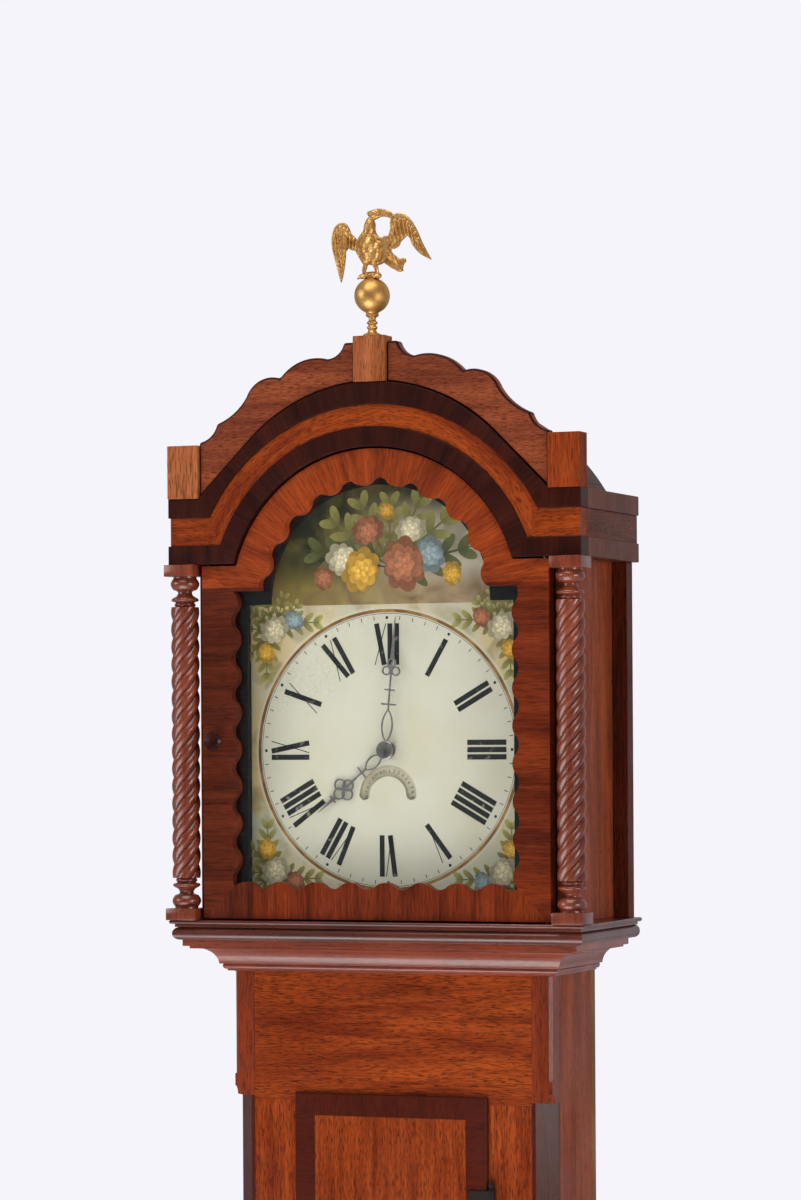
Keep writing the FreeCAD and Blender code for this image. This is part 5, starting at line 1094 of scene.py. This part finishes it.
class CLOCK_OT_case_woods(bpy.types.Operator):
    """Eases and polishes the boards and mouldings of the case"""

    bl_idname = "clock.case_woods"
    bl_label = "Case woods"

    def execute(self, context):
        woods = context.scene.clock_woods
        upright, level = straight_grain("z"), straight_grain("x")
        moulded = timber("dark_moulding", level, *woods.dark(), coat=0.12)
        bare = timber("bare_pine", upright, *woods.pair("pine"), woods.oak_pore, 0.3, gloss=BARE, coat=0.0)
        low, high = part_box("corner_posts")
        cant = between(low.z + 188 * MM, high.z - 176 * MM)
        finishes = {
            "trunk_sides": timber("trunk_side_wood", upright, *woods.pair("side"), woods.pore, 0.5),
            "base_sides": timber("oak_upright", upright, *woods.oak()),
            "base_front": timber("oak_level", level, *woods.oak()),
            "trunk_frame": timber("frame_oak", frame_grain, *woods.oak()),
            "corner_posts": timber("post_wood", upright, woods.veneer_light, woods.arch_dark, woods.pore, 0.5,
                                   coat=0.4, patches=[(cant, woods.veneer_dark, woods.dark_light)]),
            "throat_moulding": timber("throat_wood", level, *woods.pair("throat"), woods.pore, 0.4, gloss=BRIGHT,
                                      coat=0.8, sheen=0.4),
            "waist_moulding": moulded,
            "plinth": moulded,
            "backboard": bare,
            "seatboard": bare,
        }
        for node, material in finishes.items():
            eased(node, material, woods.edge, "case")
        return {"FINISHED"}


class CLOCK_OT_hood_woods(bpy.types.Operator):
    """Eases and polishes the hood's sides, entablature, cresting and mask"""

    bl_idname = "clock.hood_woods"
    bl_label = "Hood woods"

    def execute(self, context):
        woods = context.scene.clock_woods
        upright, level, dark = straight_grain("z"), straight_grain("x"), woods.dark()
        # Painted shade on the oak frieze's sides and painted sheen on the dark mouldings' sides: every side of the
        # entablature takes the same colours
        sides = [(beyond("Y", FASCIA_BACK), *woods.pair("return"))]
        right_block = [(beyond("X", 100 * MM), *woods.pair("oak"))]
        finishes = {
            "hood_base": timber("base_moulding", level, woods.throat_dark, woods.dark_light, woods.pore, 0.4,
                                gloss=BRIGHT, coat=0.8, sheen=0.4),
            "hood_sides": timber("side_panel", upright, *woods.pair("side"), woods.pore, 0.5),
            "hood_rear_posts": timber("rear_post", upright, *woods.pair("shade"), woods.pore),
            "hood_architrave": timber("architrave", arched_grain(176 * MM, True), *dark, coat=0.12, patches=sides),
            "hood_frieze": timber("frieze_oak", arched_grain(188 * MM, False), *woods.oak(), patches=sides),
            "hood_cornice": timber("cornice", arched_grain(200 * MM, True), *dark, coat=0.12, patches=sides),
            "crest_blocks": timber("faded_blocks", upright, *woods.pair("block"), woods.oak_pore, gloss=(0.5, 0.7),
                                   coat=0.0, patches=right_block),
            "hood_roof": timber("roof_board", straight_grain("y"), *woods.pair("roof"), woods.oak_pore, 0.3,
                                gloss=BARE, coat=0.0),
            "dial_mask": mask_paint(),
        }
        for node, material in finishes.items():
            eased(node, material, woods.edge, "hood")
        crest = timber("cresting_oak", level, *woods.pair("crest"), woods.oak_pore, 0.7, fineness=1.4)
        eased("cresting", crest, woods.crest_rim, "hood", timber("cresting_rim", level, *dark))
        return {"FINISHED"}


class CLOCK_OT_columns(bpy.types.Operator):
    """Turns the twist columns with their feet, heads and blocks"""

    bl_idname = "clock.columns"
    bl_label = "Twist columns"

    def execute(self, context):
        woods = context.scene.clock_woods
        low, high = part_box("hood_columns")
        block, block_high, turning = 36 * MM, 13 * MM, 34 * MM
        y = (low.y + high.y) / 2
        bm = bmesh.new()
        for sign in (-1, 1):
            x = sign * (high.x - block / 2)
            for foot in (low.z, high.z - block_high):
                place = Matrix.Translation((x, y, foot + block_high / 2))
                cube = place @ Matrix.Diagonal((block, block, block_high, 1))
                made = bmesh.ops.create_cube(bm, size=1, matrix=cube)
                edges = {edge for vert in made["verts"] for edge in vert.link_edges}
                bmesh.ops.bevel(bm, geom=list(edges), offset=0.8 * MM, offset_type="OFFSET", affect="EDGES",
                                segments=2, profile=0.5, material=-1)
            self.turn_end(bm, (x, y, low.z + block_high), 1)
            self.turn_end(bm, (x, y, high.z - block_high), -1)
            self.twist(bm, x, y, low.z + block_high + turning, high.z - block_high - turning)
        material = timber("column_wood", straight_grain("z"), *woods.pair("column"), woods.pore, 0.35,
                          gloss=(0.22, 0.38), coat=0.7, sheen=0.35)
        turned_piece("twist_columns", bm, 40, material, "hood", ["hood_columns"])
        return {"FINISHED"}

    def turn_end(self, bm, centre, way):
        """The turned foot of a column, or its head where way is -1."""
        profile = [(0, 0), (13, 0), (13, 1.6)] + bead(13, 1.8, 14.8, 3.2, 8) + [(11, 15.4), (8, 16.8), (7.9, 19)]
        profile += [(9.5, 21.6), (14.2, 24.2)] + bead(14.6, 24.6, 27.6, 0.8, 4) + [(11, 28.6)]
        profile += bead(10.5, 29.2, 34, 1.5, 5) + [(0, 34)]
        turned(bm, [(r, way * h) for r, h in profile], centre)

    def twist(self, bm, x, y, foot, head):
        """Four rounded strands, wound so that they rise to the right."""
        crest, hollow, lead, steps = 15.9 * MM, 11.8 * MM, 78 * MM, 170
        centre = Vector((x, y, foot))
        made = bmesh.ops.create_circle(bm, cap_ends=False, segments=72, radius=1, matrix=Matrix.Translation(centre))
        for vert in made["verts"]:
            out = vert.co - centre
            swell = abs(math.cos(2 * math.atan2(out.y, out.x)))
            vert.co = centre + out * (hollow + (crest - hollow) * swell ** 0.75)
        edges = list({edge for vert in made["verts"] for edge in vert.link_edges})
        bmesh.ops.spin(bm, geom=made["verts"] + edges, cent=centre, axis=(0, 0, 1),
                       dvec=(0, 0, (head - foot) / steps), angle=2 * math.pi * (head - foot) / lead, steps=steps)


class CLOCK_OT_doors(bpy.types.Operator):
    """Veneers the two doors and glazes the hood's"""

    bl_idname = "clock.doors"
    bl_label = "Doors"

    def execute(self, context):
        woods = context.scene.clock_woods
        # The hood door's left stile is darkened with painted shade
        shaded_left_stile, arch = beyond("X", 145 * MM, -1), beyond("Z", ARCH_CENTRE + 20 * MM)
        veneer = timber("door_crossbanding", hood_door_grain, *woods.pair("veneer"), woods.pore, 0.4, fineness=0.8,
                        gloss=(0.30, 0.48), coat=0.08,
                        patches=[(shaded_left_stile, *woods.pair("shade")), (arch, *woods.pair("arch"))])
        eased("hood_door_frame", veneer, 0.5 * MM, "hood_door")
        eased("trunk_door", trunk_door_wood(woods), 1.5 * MM, "trunk_door")
        dress("hood_door_glass", clear_glass())
        dress("hood_door_knob", timber("knob_wood", straight_grain("y"), *woods.pair("dark"), woods.pore, 0.3,
                                       gloss=(0.18, 0.32), coat=0.5))
        return {"FINISHED"}


class CLOCK_OT_finial(bpy.types.Operator):
    """Casts the gilt ball and eagle"""

    bl_idname = "clock.finial"
    bl_label = "Finial"

    def execute(self, context):
        low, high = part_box("finial")
        y = (low.y + high.y) / 2
        ball, centre = 19.7, 44.5
        profile = [(0, 0), (10.4, 0), (10.6, 1), (9, 2.4), (5.6, 3.6), (4.6, 6)] + bead(4.4, 7.2, 11.4, 1.6, 5)
        profile += bead(4.2, 12.6, 16.8, 2.0, 5) + [(3.8, 18), (4.2, 20.4), (7, 22), (7.4, 23.2), (6.6, 24.4)]
        for i in range(3, 25):
            turn = math.pi * i / 24
            profile.append((ball * math.sin(turn), centre - ball * math.cos(turn)))
        bm = bmesh.new()
        turned(bm, profile, (0, y, low.z), steps=56)
        gilt = metal("gilt_casting", (0.80, 0.46, 0.145), (0.44, 0.21, 0.058), (0.36, 0.54), 0.25, 0.9)
        turned_piece("finial_ball", bm, 40, gilt, "hood", ["finial"])
        eagle = eagle_mesh(Vector((0, y, low.z + (centre + ball) * MM)))
        link_piece("finial_eagle", eagle, feathered_gilt(), "hood", ["finial"])
        return {"FINISHED"}


class CLOCK_OT_dial(bpy.types.Operator):
    """Paints the dial: ground, ring, numerals, minute marks and flowers"""

    bl_idname = "clock.dial"
    bl_label = "Painted dial"

    def execute(self, context):
        dial = context.scene.clock_dial
        dress("dial_plate", dial_paint(dial))
        dot, tick, tick_width = 1.7 * MM, 2.2 * MM, 0.9 * MM
        hairline = dial.ring_inner - 1.6 * MM, dial.ring_inner - 1.1 * MM
        bm = bmesh.new()
        numerals = ("XII", "I", "II", "III", "IIII", "V", "VI", "VII", "VIII", "IX", "X", "XI")
        for hour, text in enumerate(numerals):
            turn = face_matrix(0, DIAL.z, INK_DEPTH, 2 * math.pi * hour / 12)
            numeral(bm, text, dial.numeral_inner, dial.numeral_outer, turn)
            spot = turn @ Matrix.Translation((0, dial.dot_radius, 0))
            bmesh.ops.create_circle(bm, cap_ends=True, segments=12, radius=dot, matrix=spot)
        for minute in range(60):
            if minute % 5:
                turn = face_matrix(0, DIAL.z, INK_DEPTH, 2 * math.pi * minute / 60)
                stroke(bm, turn, (0, dial.dot_radius - tick), (0, dial.dot_radius + tick), tick_width)
        flat_ring(bm, *hairline, INK_DEPTH)
        black = worn_paint("numeral_ink", 120, dial.ink, RUBBED_INK, (0.60, 0.72), (0.40, 0.60), 0.7,
                           Specular_IOR_Level=PAINT_SHEEN)
        painted("dial_numerals", bm, black)
        bm = bmesh.new()
        flat_ring(bm, dial.ring_inner, dial.ring_outer, RING_DEPTH)
        gilding = worn_paint("gilt_line", 60, dial.ring, RUBBED_GILT, (0.45, 0.65), (0.35, 0.60), Metallic=0.35)
        painted("dial_ring", bm, gilding)
        self.flowers()
        self.date_numbers(black)
        return {"FINISHED"}

    def flowers(self):
        """Generic flower sprays in the corners and a bouquet in the arch."""
        art = Bouquet()
        corner_x, corner_z = 136 * MM, 135 * MM
        sprig, bough, large, small = 38 * MM, 50 * MM, 16.5 * MM, 11.5 * MM
        for across in (-1, 1):
            for up in (-1, 1):
                x, z = across * corner_x, DIAL.z + up * corner_z
                for turn in (0.3, 0.9, 1.5, 2.3, -0.3, -0.8):
                    art.spray(x, z, across * (math.pi / 2 - up * (math.pi / 2 - turn)), sprig, LEAF)
                art.spray(x, z + up * 8 * MM, -across * math.pi / 2, bough, LEAF)
                art.spray(x + across * 10 * MM, z, math.pi if up > 0 else 0, bough, LEAF)
                art.flower(x, z, large, CREAM, layer=2)
                art.flower(x - across * 24 * MM, z + up * 11 * MM, small, ROSE if across * up > 0 else BLUE)
                art.flower(x + across * 10 * MM, z - up * 25 * MM, small, YELLOW, layer=1)
        stem_x, stem_z = 4 * MM, ARCH_CENTRE + 40 * MM
        for turn, size in ((1.35, 88), (0.9, 84), (0.45, 78)):
            for side in (-1, 1):
                art.spray(stem_x, stem_z, side * turn, size * MM, DEEP_LEAF if turn > 1 else LEAF)
        art.spray(stem_x, stem_z, 0.0, 72 * MM, LEAF)
        blooms = ((-76, 30, 13, ROSE), (78, 32, 13, YELLOW), (0, 104, 10, YELLOW), (-52, 50, 20, CREAM),
                  (52, 54, 19, BLUE), (-22, 82, 18, ROSE), (29, 82, 17, CREAM), (-30, 38, 24, YELLOW),
                  (20, 44, 28, ROSE))
        for layer, (x, z, radius, shade) in enumerate(blooms):
            art.flower(x * MM, ARCH_CENTRE + z * MM, radius * MM, shade, x / 25, layer)
        painted("dial_flowers", art.bm, brushed_paint())

    def date_numbers(self, black):
        """The days' numbers on the date disc, which pass under the curved window."""
        centre, front = middle("date_disc"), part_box("date_disc")[0].y
        size, radius, depth = 5.2 * MM, 26 * MM, 0.06 * MM
        bm = bmesh.new()
        for day in range(31):
            text = bpy.data.curves.new("day", "FONT")
            text.body = str(day + 1)
            text.size = size
            text.align_x = "CENTER"
            turn = Matrix.Rotation(2 * math.pi * day / 31, 4, "Y") @ Matrix.Rotation(math.pi / 2, 4, "X")
            lay = Matrix.Translation((0, radius, 0))
            take_in(bm, drawn_mesh(text), Matrix.Translation((centre.x, front - depth, centre.z)) @ turn @ lay)
        painted("date_numbers", bm, black, "date")


class CLOCK_OT_metals(bpy.types.Operator):
    """Finishes the movement, the hands and the ironwork"""

    bl_idname = "clock.metals"
    bl_label = "Movement and ironwork"

    def execute(self, context):
        finishes = {
            "brass": metal("grained_brass", (0.56, 0.36, 0.12), (0.34, 0.19, 0.06), (0.26, 0.48), 0.10),
            "steel": metal("grey_steel", (0.40, 0.38, 0.37), (0.17, 0.15, 0.14), (0.30, 0.50), 0.08),
            "iron": metal("black_iron", (0.012, 0.011, 0.011), (0.026, 0.018, 0.014), (0.40, 0.65), 0.5, 0.1, 0.15),
            "gilt": metal("gilt_plate", (0.60, 0.34, 0.10), (0.30, 0.15, 0.045), (0.28, 0.5), 0.15),
            "dial_white": worn_paint("date_paint", 40, DISC_WHITE, DISC_STAIN, (0.45, 0.75), (0.45, 0.65),
                                     Specular_IOR_Level=PAINT_SHEEN),
        }
        self.collet(metal("worn_cap", (0.16, 0.15, 0.145), (0.035, 0.032, 0.030), (0.42, 0.65), 0.4, 0.6))
        done = {"hood_door_knob", "dial_plate"}
        for node, slot in SLOTS.items():
            if slot in finishes and node not in done:
                dress(node, finishes[slot])
        return {"FINISHED"}

    def collet(self, worn):
        """The ringed cap that holds the minute hand on its arbor."""
        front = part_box("minute_hand")[0].y
        profile = [(0, 2.6), (1.6, 2.6), (3.0, 2.2), (3.2, 1.8), (5.4, 1.8), (5.8, 1.4), (7.8, 1.4), (9.0, 0.8),
                   (9.5, 0), (0, 0)]
        bm = bmesh.new()
        turned(bm, profile, (0, front, DIAL.z), "Y")
        turned_piece("hand_collet", bm, 30, worn, "centre_arbor")


class CLOCK_PT_panel(bpy.types.Panel):
    """Lists the clock's steps"""

    bl_idname = "CLOCK_PT_panel"
    bl_label = "Longcase clock"
    bl_space_type = "VIEW_3D"
    bl_region_type = "UI"
    bl_category = "Clock"

    def draw(self, context):
        for step in STEPS:
            self.layout.operator(step.bl_idname)
        for name, kind in GROUPS_OF_SIZES.items():
            box = self.layout.box()
            for size in kind.__annotations__:
                box.prop(getattr(context.scene, name), size)


GROUPS_OF_SIZES = {"clock_woods": ClockWoods, "clock_dial": ClockDial, "clock_stage": ClockStage}
STEPS = (CLOCK_OT_stage, CLOCK_OT_ropes, CLOCK_OT_case_woods, CLOCK_OT_hood_woods, CLOCK_OT_columns, CLOCK_OT_doors,
         CLOCK_OT_finial, CLOCK_OT_dial, CLOCK_OT_metals)
CLASSES = (*GROUPS_OF_SIZES.values(), *STEPS, CLOCK_PT_panel)


def register():
    for kind in CLASSES:
        bpy.utils.register_class(kind)
    for name, kind in GROUPS_OF_SIZES.items():
        setattr(bpy.types.Scene, name, bpy.props.PointerProperty(type=kind))


def unregister():
    for name in GROUPS_OF_SIZES:
        delattr(bpy.types.Scene, name)
    for kind in reversed(CLASSES):
        bpy.utils.unregister_class(kind)


def main():
    register()
    bpy.ops.clock.stage()
    bpy.ops.clock.ropes()
    bpy.ops.clock.case_woods()
    bpy.ops.clock.hood_woods()
    bpy.ops.clock.columns()
    bpy.ops.clock.doors()
    bpy.ops.clock.finial()
    bpy.ops.clock.dial()
    bpy.ops.clock.metals()


if __name__ == "__main__":
    main()
